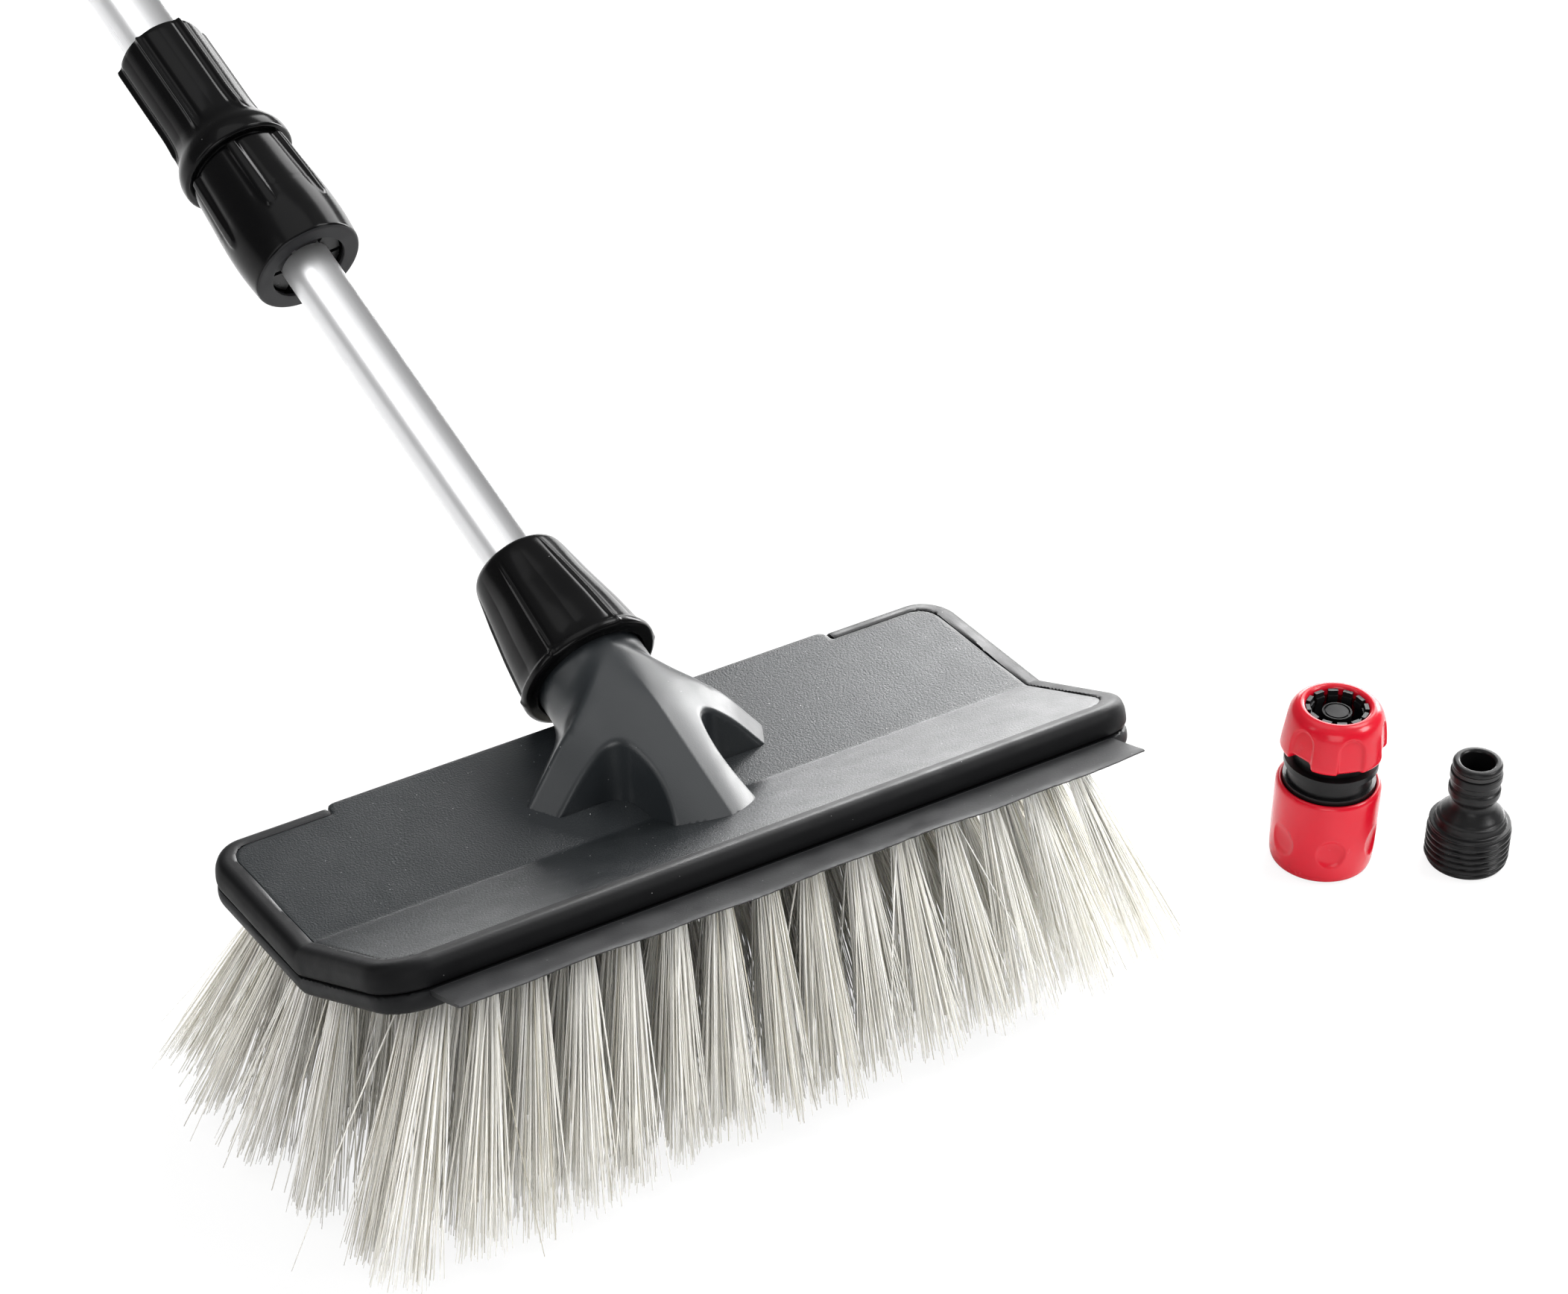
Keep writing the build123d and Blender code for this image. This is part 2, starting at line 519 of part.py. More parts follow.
# nipple above the thread (radius, z), down to the bore
NIPPLE = [
    (13.1, 14.6), (11.3, 15.0), (11.1, 17.7), (10.0, 17.75), (9.9, 18.6), (8.6, 19.9),
    (7.3, 21.5), (6.9, 22.6), (6.95, 23.8), (8.1, 25.2), (8.4, 26.2), (8.4, 28.4),
    (7.7, 28.8), (7.7, 29.3), (7.95, 29.6), (7.95, 31.2), (8.4, 31.6), (8.4, 34.2),
    (7.0, 34.5), (7.0, 36.0), (8.05, 36.2), (8.0, 37.3), (7.4, 38.0), (5.9, 38.0),
    (5.4, 37.5),
]
outline = [(5.4, 0), (12.5, 0), (12.6, 0.5)]
for k in range(THREAD_RIDGES):
    z = THREAD_START + k * HOSE_THREAD_PITCH
    outline += [(THREAD_ROOT_R, z), (THREAD_CREST_R, z + 0.75),
                (THREAD_CREST_R, z + 1.15), (THREAD_ROOT_R, z + 1.9)]
thread_top = THREAD_START + THREAD_RIDGES * HOSE_THREAD_PITCH
outline += [(THREAD_ROOT_R, thread_top + 0.1), (13.2, thread_top + 0.3)] + NIPPLE
adaptor = turned(outline) - rod(10.4, -1, 9.0)
save("threaded_adaptor", AT_ADAPTOR * adaptor)
save("adaptor_washer", AT_ADAPTOR * ring(6.2, 10.3, 6.4, 9.0))
save("nipple_ring", AT_ADAPTOR * ring(7.0, 7.95, 34.55, 35.95))
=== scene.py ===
# A wash brush with a telescopic hollow pole, and its hose fittings.
# The brush head lies along X with its bristles down on the floor at z = 0 and its squeegee blade
# in front, at -Y. The pole leaves the head towards +Y, tilted up. The red hose connector and the
# black threaded adaptor stand upright on the floor on the +X side.
# Shapes are worked out in millimetres and turned into metres as the meshes are made.
import math

import bpy
import numpy as np
from mathutils import Matrix, Vector


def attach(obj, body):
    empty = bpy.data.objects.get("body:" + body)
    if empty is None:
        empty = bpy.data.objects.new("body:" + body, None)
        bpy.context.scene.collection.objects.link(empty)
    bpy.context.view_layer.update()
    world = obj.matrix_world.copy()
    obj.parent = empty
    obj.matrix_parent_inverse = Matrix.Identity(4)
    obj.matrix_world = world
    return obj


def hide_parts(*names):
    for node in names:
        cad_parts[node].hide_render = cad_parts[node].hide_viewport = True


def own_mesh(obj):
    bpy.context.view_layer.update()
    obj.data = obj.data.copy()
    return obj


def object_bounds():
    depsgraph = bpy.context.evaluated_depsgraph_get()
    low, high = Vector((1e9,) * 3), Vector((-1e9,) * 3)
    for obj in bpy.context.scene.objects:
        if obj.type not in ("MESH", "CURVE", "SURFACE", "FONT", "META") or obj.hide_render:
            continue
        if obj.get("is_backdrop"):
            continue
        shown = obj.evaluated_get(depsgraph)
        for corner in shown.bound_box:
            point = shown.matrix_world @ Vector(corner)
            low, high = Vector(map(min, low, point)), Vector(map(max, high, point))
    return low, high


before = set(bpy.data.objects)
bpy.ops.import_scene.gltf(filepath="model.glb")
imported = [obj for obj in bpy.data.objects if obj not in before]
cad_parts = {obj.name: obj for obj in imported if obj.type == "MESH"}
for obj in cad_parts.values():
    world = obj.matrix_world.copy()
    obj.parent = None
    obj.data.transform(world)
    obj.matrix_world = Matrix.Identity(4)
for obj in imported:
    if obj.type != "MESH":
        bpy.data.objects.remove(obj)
CAD_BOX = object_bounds()
MM = 0.001

# ------------------------------------------------------------------ driving dimensions, mm
PLATE_TOP = 81.3                # height of the flat top of the block, and of the pole's origin
POLE_TILT = math.radians(18.7)
BLOCK_X = -3.0                  # middle of the block along X
BEND_Y = -10.7                  # the plate bends upwards in front of this line
BEND = math.radians(25.5)
FRONT_REACH = 47.3              # bend line to the block's front edge, along the slope
BUMPER_GROW = 6.2               # the bumper's outline stands this far outside the block's
HOLE_Y = 13.5                   # line of the board's holes and of the block's underside pocket
ROOT_DEPTH = 15.3               # bristle roots below the plate top
CONNECTOR_XY = (223.4, -43.3)
ADAPTOR_XY = (262.4, -68.8)
THREAD_PITCH = 2.209
TURN = 360        # segments round the black nuts
RED_TURN = 420    # segments round the red pieces

COS_TILT, SIN_TILT = math.cos(POLE_TILT), math.sin(POLE_TILT)
COS_BEND, SIN_BEND = math.cos(BEND), math.sin(BEND)
BEND_POINT = np.array([0, BEND_Y, PLATE_TOP])
SLOPE = np.array([0, -COS_BEND, SIN_BEND])          # forwards along the bent front of the plate
SLOPE_NORMAL = np.array([0, SIN_BEND, COS_BEND])
rng = np.random.default_rng(11)
scene = bpy.context.scene


# ------------------------------------------------------------------ shader nodes
class Nodes:
    """Fills an emptied node tree. Colours are RGB triples."""

    def __init__(self, tree):
        self.tree = tree
        tree.nodes.clear()

    def fill(self, node, inputs):
        """Link or set each input, keyed by its name or index."""
        for key, value in inputs.items():
            socket = node.inputs[key]
            if isinstance(value, bpy.types.NodeSocket):
                self.tree.links.new(value, socket)
            elif socket.type == "RGBA":
                socket.default_value = (*value, 1)
            else:
                socket.default_value = value

    def add(self, kind, inputs=None, **settings):
        node = self.tree.nodes.new("ShaderNode" + kind)
        for key, value in settings.items():
            setattr(node, key, value)
        self.fill(node, inputs or {})
        return node

    def mapping(self, vector, scale=(1, 1, 1), rotation=(0, 0, 0)):
        inputs = {"Vector": vector, "Scale": scale, "Rotation": rotation}
        return self.add("Mapping", inputs).outputs[0]

    def coords(self, **mapping):
        return self.mapping(self.add("TexCoord").outputs["Object"], **mapping)

    def noise(self, vector, scale, detail):
        inputs = {"Vector": vector, "Scale": scale, "Detail": detail, "Roughness": 0.55}
        return self.add("TexNoise", inputs).outputs["Fac"]

    def remap(self, value, source, target):
        """Map the source range of a value onto the target range."""
        inputs = {0: value, 1: source[0], 2: source[1], 3: target[0], 4: target[1]}
        return self.add("MapRange", inputs).outputs[0]

    def mix(self, factor, first, second):
        node = self.add("Mix", data_type="RGBA")
        self.fill(node, {0: factor, 6: first, 7: second})
        return node.outputs[2]

    def math(self, operation, first, second):
        return self.add("Math", {0: first, 1: second}, operation=operation).outputs[0]

    def bump(self, height, distance, strength):
        inputs = {"Distance": distance, "Strength": strength, "Height": height}
        return self.add("Bump", inputs).outputs[0]

    def ramp(self, value, stops):
        node = self.add("ValToRGB", {0: value})
        elements = node.color_ramp.elements
        while len(elements) > 1:
            elements.remove(elements[-1])
        elements[0].position = stops[0][0]
        elements[0].color = (*stops[0][1], 1)
        for position, colour in stops[1:]:
            elements.new(position).color = (*colour, 1)
        return node.outputs[0]

    def specks(self, vector, scale, density, radius=0.14):
        """Small dots of varied strength in a share of the voronoi cells."""
        cells = self.add("TexVoronoi", {"Vector": vector, "Scale": scale})
        near = self.math("LESS_THAN", cells.outputs["Distance"], radius)
        channels = self.add("SeparateColor", {0: cells.outputs["Color"]})
        few = self.math("LESS_THAN", channels.outputs[0], density)
        dots = self.math("MULTIPLY", near, few)
        return self.math("MULTIPLY", dots, channels.outputs[1])


def new_material(name):
    material = bpy.data.materials.new(name)
    material.use_nodes = True
    nodes = Nodes(material.node_tree)
    output = nodes.add("OutputMaterial")
    surface = nodes.add("BsdfPrincipled")
    nodes.fill(output, {0: surface.outputs[0]})
    return material, nodes, surface, output


def plastic(name, base, light, roughness, grain_depth, grain_scale, grain_strength=0.6,
            specular=0.5, cloud=0.35, specks=0.0, speck_colour=None, speck_scale=900,
            coat=0.0, coat_roughness=0.1):
    """Moulded plastic or rubber: a clouded colour, a fine grain and optional pale specks."""
    material, nodes, surface, _ = new_material(name)
    vector = nodes.coords()
    clouds = nodes.noise(vector, scale=38.0, detail=4.0)
    grain = nodes.noise(vector, scale=grain_scale, detail=2.0)
    cloud_share = nodes.remap(clouds, source=(0.35, 0.7), target=(0.0, cloud))
    colour = nodes.mix(cloud_share, base, light)
    if specks:
        dots = nodes.specks(vector, speck_scale, specks)
        colour = nodes.mix(dots, colour, speck_colour)
    wear = nodes.noise(vector, scale=95.0, detail=5.0)
    nodes.fill(surface, {
        "Base Color": colour,
        "Roughness": nodes.remap(wear, source=(0.3, 0.7), target=roughness),
        "Normal": nodes.bump(grain, distance=grain_depth, strength=grain_strength),
        "Coat Weight": coat,
        "Coat Roughness": coat_roughness,
        "Specular IOR Level": specular,
    })
    return material


def metal(name, base, roughness):
    """Satin metal with faint lines drawn along the pole."""
    material, nodes, surface, _ = new_material(name)
    vector = nodes.coords(rotation=(-POLE_TILT, 0, 0))  # the pole's direction becomes local Y
    lines = nodes.noise(nodes.mapping(vector, scale=(900, 6, 900)), scale=1.0, detail=3.0)
    clouds = nodes.noise(vector, scale=30.0, detail=3.0)
    line_share = nodes.remap(lines, source=(0.3, 0.7), target=(0.0, 0.35))
    colour = nodes.mix(line_share, base, tuple(x * 0.9 for x in base))
    cloud_share = nodes.remap(clouds, source=(0.4, 0.7), target=(0.0, 0.15))
    colour = nodes.mix(cloud_share, colour, tuple(x * 0.93 for x in base))
    rough_range = (roughness - 0.04, roughness + 0.06)
    nodes.fill(surface, {
        "Base Color": colour,
        "Metallic": 0.62,
        "Roughness": nodes.remap(lines, source=(0.25, 0.75), target=rough_range),
        "Normal": nodes.bump(lines, distance=0.00002, strength=0.25),
    })
    return material


def filament(name):
    """Bristle: some light passes through, and each filament has its own tint."""
    material, nodes, surface, output = new_material(name)
    tint = nodes.add("Attribute", attribute_name="tint").outputs["Fac"]
    streaks = nodes.noise(nodes.coords(scale=(1, 1, 0.15)), scale=1400.0, detail=2.0)
    tinted = nodes.ramp(tint, [
        (0.0, (0.55, 0.52, 0.43)), (0.22, (0.81, 0.79, 0.72)),
        (0.6, (0.92, 0.905, 0.85)), (1.0, (0.97, 0.962, 0.93))])
    streak_share = nodes.remap(streaks, source=(0.35, 0.7), target=(0.0, 0.18))
    colour = nodes.mix(streak_share, tinted, (0.66, 0.63, 0.56))
    nodes.fill(surface, {
        "Base Color": colour,
        "Roughness": nodes.remap(streaks, source=(0.3, 0.7), target=(0.32, 0.5)),
        "Normal": nodes.bump(streaks, distance=0.00003, strength=0.3),
    })
    through = nodes.add("BsdfTranslucent", {0: colour})
    through_share = 0.22
    both = nodes.add("MixShader",
                     {0: through_share, 1: surface.outputs[0], 2: through.outputs[0]})
    nodes.fill(output, {0: both.outputs[0]})
    return material


slate = plastic(
    "slate_plastic", base=(0.0125, 0.0150, 0.0170), light=(0.017, 0.020, 0.022),
    roughness=(0.31, 0.40), grain_depth=0.00013, grain_scale=1700, grain_strength=0.8,
    specks=0.05, speck_colour=(0.50, 0.51, 0.51))
tower_slate = plastic(
    "slate_plastic_tower", base=(0.0135, 0.0162, 0.0185), light=(0.018, 0.021, 0.0235),
    roughness=(0.30, 0.38), grain_depth=0.00005, grain_scale=2300, grain_strength=0.4,
    specks=0.010, speck_colour=(0.42, 0.43, 0.43), speck_scale=850)
bumper_rubber = plastic(
    "bumper_rubber", base=(0.0040, 0.0041, 0.0045), light=(0.0070, 0.0072, 0.0077),
    roughness=(0.40, 0.55), grain_depth=0.00004, grain_scale=1500, specular=0.085,
    specks=0.02, speck_colour=(0.20, 0.20, 0.20))
blade_rubber = plastic(
    "blade_rubber", base=(0.0080, 0.0083, 0.0090), light=(0.014, 0.0145, 0.0155),
    roughness=(0.45, 0.62), grain_depth=0.00006, grain_scale=1700, specular=0.45,
    specks=0.05, speck_colour=(0.25, 0.25, 0.25))
board_black = plastic(
    "board_plastic", base=(0.0070, 0.0072, 0.0078), light=(0.011, 0.0115, 0.012),
    roughness=(0.38, 0.5), grain_depth=0.00004, grain_scale=1700, specular=0.10,
    specks=0.01, speck_colour=(0.2, 0.2, 0.2))
gloss_black = plastic(
    "gloss_black_plastic", base=(0.0020, 0.0020, 0.0022), light=(0.0035, 0.0035, 0.0038),
    roughness=(0.15, 0.22), grain_depth=0.00002, grain_scale=1200, grain_strength=0.12,
    specular=0.13, specks=0.004, speck_colour=(0.25, 0.25, 0.25), speck_scale=800)
satin_black = plastic(
    "satin_black_plastic", base=(0.0045, 0.0045, 0.0048), light=(0.0085, 0.0085, 0.009),
    roughness=(0.27, 0.38), grain_depth=0.00005, grain_scale=1500, specular=0.22)
matte_black = plastic(
    "matte_black_face", base=(0.011, 0.011, 0.0125), light=(0.016, 0.016, 0.0175),
    roughness=(0.5, 0.6), grain_depth=0.00005, grain_scale=2200, specular=0.22)
seal_rubber = plastic(
    "seal_rubber", base=(0.010, 0.010, 0.010), light=(0.018, 0.018, 0.018),
    roughness=(0.55, 0.7), grain_depth=0.00004, grain_scale=1500)
grip_foam = plastic(
    "grip_foam", base=(0.010, 0.010, 0.011), light=(0.020, 0.020, 0.021),
    roughness=(0.6, 0.78), grain_depth=0.00018, grain_scale=1300)
acetal = plastic(
    "acetal_white", base=(0.70, 0.70, 0.68), light=(0.78, 0.78, 0.76),
    roughness=(0.35, 0.45), grain_depth=0.00003, grain_scale=1500)
gloss_red = plastic(
    "gloss_red_plastic", base=(0.41, 0.0024, 0.012), light=(0.45, 0.004, 0.016),
    roughness=(0.22, 0.28), grain_depth=0.00002, grain_scale=1500, grain_strength=0.3,
    specular=0.25, cloud=0.6, coat=0.15, coat_roughness=0.08)
tube_metal = metal("anodised_tube", base=(0.62, 0.623, 0.63), roughness=0.30)
# black plastic, made darker and less shiny than the satin black as painted shade, for the plunger
# and seal deep inside the connector's mouth
shade_painted_black = plastic(
    "deep_black_plastic", base=(0.0030, 0.0030, 0.0032), light=(0.0055, 0.0055, 0.006),
    roughness=(0.45, 0.6), grain_depth=0.00004, grain_scale=1500, specular=0.07)
claw_black = plastic(
    "claw_plastic", base=(0.006, 0.006, 0.0065), light=(0.010, 0.010, 0.0105),
    roughness=(0.4, 0.5), grain_depth=0.00004, grain_scale=1500, specular=0.14)
wire_metal = metal("drawn_wire", base=(0.62, 0.62, 0.63), roughness=0.25)
bristle_white = filament("bristle_filament")


# ------------------------------------------------------------------ mesh helpers
def add_object(mesh, body, node=None):
    """Put a mesh in the scene on a moving body, in place of a CAD node if one is given."""
    piece = bpy.data.objects.new(mesh.name, mesh)
    scene.collection.objects.link(piece)
    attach(piece, body)
    if node:
        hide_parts(node)
    return piece


def make(name, verts, faces, materials, body, node, sharp, material_index=None):
    """A piece from vertices in mm; edges bent more than `sharp` degrees stay crisp."""
    mesh = bpy.data.meshes.new(name)
    points = (np.asarray(verts) * MM).tolist()
    mesh.from_pydata([tuple(p) for p in points], [], [list(map(int, f)) for f in faces])
    mesh.update()
    mesh.shade_smooth()
    mesh.set_sharp_from_angle(angle=math.radians(sharp))
    for material in materials:
        mesh.materials.append(material)
    if material_index is not None:
        mesh.polygons.foreach_set("material_index", np.asarray(material_index, np.int32))
    return add_object(mesh, body, node)


def on_pole(points):
    """Pole points (x, y, distance along the axis) to scene axes; the pole's -y is its top."""
    x, y, s = points[..., 0], points[..., 1], points[..., 2]
    return np.stack([x, s * COS_TILT + y * SIN_TILT,
                     PLATE_TOP + s * SIN_TILT - y * COS_TILT], -1)


def standing_at(xy):
    """Placement of an upright piece on the floor."""
    return lambda points: points + np.array([*xy, 0.0])


def fillet(points, steps=3):
    """Round each corner of a closed outline of (radius, height, corner radius) points."""
    corners = [np.array(p[:2], float) for p in points]
    outline_points = []
    for i, corner in enumerate(corners):
        before, after = corners[i - 1], corners[(i + 1) % len(corners)]
        to_before = np.linalg.norm(before - corner)
        to_after = np.linalg.norm(corner - after)
        cut = min(points[i][2], 0.45 * to_before, 0.45 * to_after)
        start = corner + (before - corner) / to_before * cut
        end = corner + (after - corner) / to_after * cut
        for j in range(steps + 1):
            t = j / steps
            outline_points.append((1 - t) ** 2 * start + 2 * t * (1 - t) * corner + t * t * end)
    return np.array(outline_points)


def refine(outline_points, step):
    """Split the sides of a closed outline so that none is longer than the step."""
    fine = []
    for i, start in enumerate(outline_points):
        end = outline_points[(i + 1) % len(outline_points)]
        parts = max(1, int(math.ceil(np.linalg.norm(end - start) / step)))
        for j in range(parts):
            fine.append(start + (end - start) * j / parts)
    return np.array(fine)


def lathe(name, profile, step, materials, body, node, sharp, segments, place=on_pole,
          shape_radius=None, shape_height=None, face_material=None):
    """Turn a closed profile about its axis.

    Angle 0 is the top of the pole, or the front of an upright piece, and 90 degrees is +X.
    shape_radius and shape_height take (angle, radius, height) and return the moved value.
    """
    outline_points = refine(fillet(profile), step)
    turn = np.linspace(0, 2 * np.pi, segments, endpoint=False)
    angle, radius = np.meshgrid(turn, outline_points[:, 0], indexing="ij")
    height = np.meshgrid(turn, outline_points[:, 1], indexing="ij")[1]
    shaped = shape_radius(angle, radius, height) if shape_radius else radius
    raised = shape_height(angle, radius, height) if shape_height else height
    ring = np.stack([shaped * np.sin(angle), -shaped * np.cos(angle), raised], -1)
    verts = place(ring.reshape(-1, 3))
    count = len(outline_points)
    i = np.arange(segments)[:, None]
    j = np.arange(count)[None, :]
    next_i = (i + 1) % segments
    next_j = (j + 1) % count
    faces = np.stack([i * count + j, i * count + next_j,
                      next_i * count + next_j, next_i * count + j], -1).reshape(-1, 4)
    # a negative signed volume means that the faces point inwards
    a, b, c, d = (verts[faces[:, k]] for k in range(4))
    volume = (np.einsum("ij,ij->i", a, np.cross(b, c)).sum()
              + np.einsum("ij,ij->i", a, np.cross(c, d)).sum())
    if volume < 0:
        faces = faces[:, ::-1]
    material_index = None
    if face_material:
        material_index = face_material(radius.reshape(-1)[faces].mean(1),
                                       height.reshape(-1)[faces].mean(1))
    return make(name, verts, faces, materials, body, node, sharp, material_index)


def off_line(angle, first, period):
    """Signed degrees from the nearest of a ring of evenly spaced lines."""
    return (np.degrees(angle) - first + period / 2) % period - period / 2


def rise(value, start, span):
    """0 up to start, then 1 a span later."""
    return np.clip((value - start) / span, 0, 1)


def fall(value, end, span):
    """1 until a span before the end, then 0."""
    return np.clip((end - value) / span, 0, 1)


def hill(distance, width):
    return np.exp(-(distance / width) ** 2)


def soft_inside(distance):
    """1 well below zero, 0 well above it."""
    return 1 / (1 + np.exp(distance))


def surface_net(field, low, high, step):
    """Closed quad mesh of field = 0 on a grid (naive surface nets), pulled onto the surface."""
    low, high = np.array(low, float), np.array(high, float)
    size = np.ceil((high - low) / step).astype(int) + 1
    axes = [low[k] + step * np.arange(size[k]) for k in range(3)]
    values = np.empty(tuple(size), np.float32)
    for i in range(size[0]):
        values[i] = field(np.full((1, 1), axes[0][i]), axes[1][:, None], axes[2][None, :])
    inside = values < 0

    # cells with corners on both sides of the surface get one vertex each
    corners = [(a, b, c) for a in (0, 1) for b in (0, 1) for c in (0, 1)]
    inside_count = np.zeros(tuple(size - 1), np.int8)
    for a, b, c in corners:
        inside_count += inside[a:size[0] - 1 + a, b:size[1] - 1 + b, c:size[2] - 1 + c]
    crossed = (inside_count > 0) & (inside_count < 8)
    cells = np.argwhere(crossed)
    index = -np.ones(tuple(size - 1), np.int64)
    index[crossed] = np.arange(len(cells))

    # the vertex is the mean of the crossings on the cell's edges
    total = np.zeros((len(cells), 3))
    hits = np.zeros(len(cells))
    for corner in corners:
        for k in range(3):
            if corner[k] == 1:
                continue
            other = list(corner)
            other[k] = 1
            start = values[tuple((cells + corner).T)]
            end = values[tuple((cells + other).T)]
            hit = (start < 0) != (end < 0)
            t = np.where(hit, start / np.where(hit, start - end, 1), 0)
            crossing = np.array(corner, float)[None, :].repeat(len(cells), 0)
            crossing[:, k] += t
            total[hit] += crossing[hit]
            hits[hit] += 1
    verts = low + (cells + total / hits[:, None]) * step

    # one quad round each grid edge that crosses the surface
    quads = []
    for k in range(3):
        starts = [slice(1, size[m] - 1) for m in range(3)]
        ends = list(starts)
        starts[k] = slice(0, size[k] - 1)
        ends[k] = slice(1, size[k])
        start, end = inside[tuple(starts)], inside[tuple(ends)]
        edges = np.argwhere(start != end)
        leaving = start[tuple(edges.T)]
        edges[:, [m for m in range(3) if m != k]] += 1
        across, up = [(1, 2), (2, 0), (0, 1)][k]
        ring = []
        for step_across, step_up in ((-1, -1), (0, -1), (0, 0), (-1, 0)):
            cell = edges.copy()
            cell[:, across] += step_across
            cell[:, up] += step_up
            ring.append(index[tuple(cell.T)])
        ring = np.stack(ring, 1)
        ring[~leaving] = ring[~leaving][:, ::-1]
        quads.append(ring)
    quads = np.concatenate(quads)
    quads = quads[(quads >= 0).all(1)]

    def gradient(points):
        reach = step * 0.02
        slopes = []
        for k in range(3):
            offset = np.zeros(3)
            offset[k] = reach
            ahead, behind = points + offset, points - offset
            slopes.append((field(*ahead.T) - field(*behind.T)) / (2 * reach))
        return np.stack(slopes, -1)

    for _ in range(3):
        value = field(*verts.T)
        slope = gradient(verts)
        move = value / np.maximum((slope ** 2).sum(1), 0.05)
        verts = verts - np.clip(move, -0.5 * step, 0.5 * step)[:, None] * slope
    return verts, quads


def smooth_max(a, b, blend):
    overlap = np.maximum(blend - np.abs(a - b), 0) / blend
    return np.maximum(a, b) + overlap * overlap * blend * 0.25


def smooth_min(a, b, blend):
    return -smooth_max(-a, -b, blend)


# ------------------------------------------------------------------ block, bumper and board
# Each field below is negative inside its piece; distances are in mm.
def unroll(x, y, z):
    """Position on the bent plate: along X, backwards from the bend, and height above it."""
    back, up = y - BEND_Y, z - PLATE_TOP
    front = back * math.cos(BEND / 2) - up * math.sin(BEND / 2) < 0
    across = np.where(front, back * COS_BEND - up * SIN_BEND, back)
    height = np.where(front, back * SIN_BEND + up * COS_BEND, up)
    return x - BLOCK_X, across, height


def outline(along, across, grow, back, front_radius, back_radius):
    """Distance in the plate's plane to its rounded outline, which narrows to front and back."""
    taper_back = 0.028 * np.clip(across, 0, 60)
    taper_front = 0.02 * np.clip(-across, 0, 60)
    half_length = 127.0 + grow - taper_back - taper_front
    start, end = -(FRONT_REACH + grow), back - BEND_Y
    middle, half_depth = (start + end) / 2, (end - start) / 2
    radius = np.where(across < middle, front_radius, back_radius)
    dx = np.abs(along) - half_length + radius
    dy = np.abs(across - middle) - half_depth + radius
    return (np.minimum(np.maximum(dx, dy), 0)
            + np.hypot(np.maximum(dx, 0), np.maximum(dy, 0)) - radius)


def slab(flat, height, bottom, top, top_radius, bottom_radius=0):
    """Extrude an outline between two heights, with rounded edges."""
    solid = smooth_max(flat, height - top, top_radius * 2.2)
    if bottom_radius > 0:
        return smooth_max(solid, bottom - height, bottom_radius * 2.2)
    return np.maximum(solid, bottom - height)


def pole_axis(x, y, z):
    """Distance along the pole's axis, height above it, and radius from it."""
    s = y * COS_TILT + (z - PLATE_TOP) * SIN_TILT
    up = -y * SIN_TILT + (z - PLATE_TOP) * COS_TILT
    return s, up, np.hypot(x, up)


def cut_for_nut(solid, x, y, z):
    """Take away a round clearance about the pole where the union nut starts."""
    s, _, radius = pole_axis(x, y, z)
    return smooth_max(solid, -np.maximum(radius - 23.9, 45.7 - s), 0.8)


def block_field(x, y, z):
    along, across, height = unroll(x, y, z)
    flat = outline(along, across, grow=0.0, back=40.1, front_radius=10.0, back_radius=7.0)
    # the back edge stands out in the middle, in the bumper's gap
    tab_half_length, tab_middle, tab_half_depth = 89.6, 30.0 - BEND_Y, 15.0
    tab = smooth_max(np.abs(along) - tab_half_length,
                     np.abs(across - tab_middle) - tab_half_depth, 3.0)
    flat = smooth_min(flat, tab, 1.2)
    solid = slab(flat, height, bottom=-8.98, top=0.0, top_radius=0.35)
    # shallow pocket in the underside
    half_length, half_depth, roof = 103, 17, 3.2
    pocket = np.maximum(np.abs(along) - half_length, np.abs(y - HOLE_Y) - half_depth)
    pocket = np.maximum(pocket, height + roof)
    return cut_for_nut(np.maximum(solid, -pocket), x, y, z)


def bumper_field(x, y, z):
    along, across, height = unroll(x, y, z)
    outer = outline(along, across, grow=BUMPER_GROW, back=44.6,
                    front_radius=15.0, back_radius=12.0)
    # hollowed side wall, with a shallow step under the top strip
    bulge = 0.5 * ((height + 4.3) / 4.3) ** 2
    ledge = 0.45 / (1 + np.exp((height + 2.6) * 3.0)) - 0.2
    outer = outer + bulge * 0.8 - ledge * 0.6
    solid = slab(outer, height, bottom=-8.95, top=0.30, top_radius=1.25, bottom_radius=1.1)
    inner = outline(along, across, grow=-0.15, back=39.95, front_radius=9.9, back_radius=6.9)
    solid = smooth_max(solid, -inner, 0.3)
    # open in the middle of the back
    gap_half_length, gap_start = 90.0, 30.0
    gap = np.maximum(np.abs(along) - gap_half_length, gap_start - across)
    return smooth_max(solid, -gap, 0.9)


def board_field(x, y, z):
    along, across, height = unroll(x, y, z)
    flat = outline(along, across, grow=5.6, back=44.2, front_radius=14.4, back_radius=11.4)
    solid = slab(flat, height, bottom=-15.5, top=-9.12, top_radius=0.5, bottom_radius=2.2)
    solid = cut_for_nut(solid, x, y, z)
    hole_radius = 0.9
    for hole_x in (-84, -42, 0, 42, 84):
        hole = np.hypot(x - BLOCK_X - hole_x, y - HOLE_Y) - hole_radius
        solid = np.maximum(solid, -hole)
    return solid


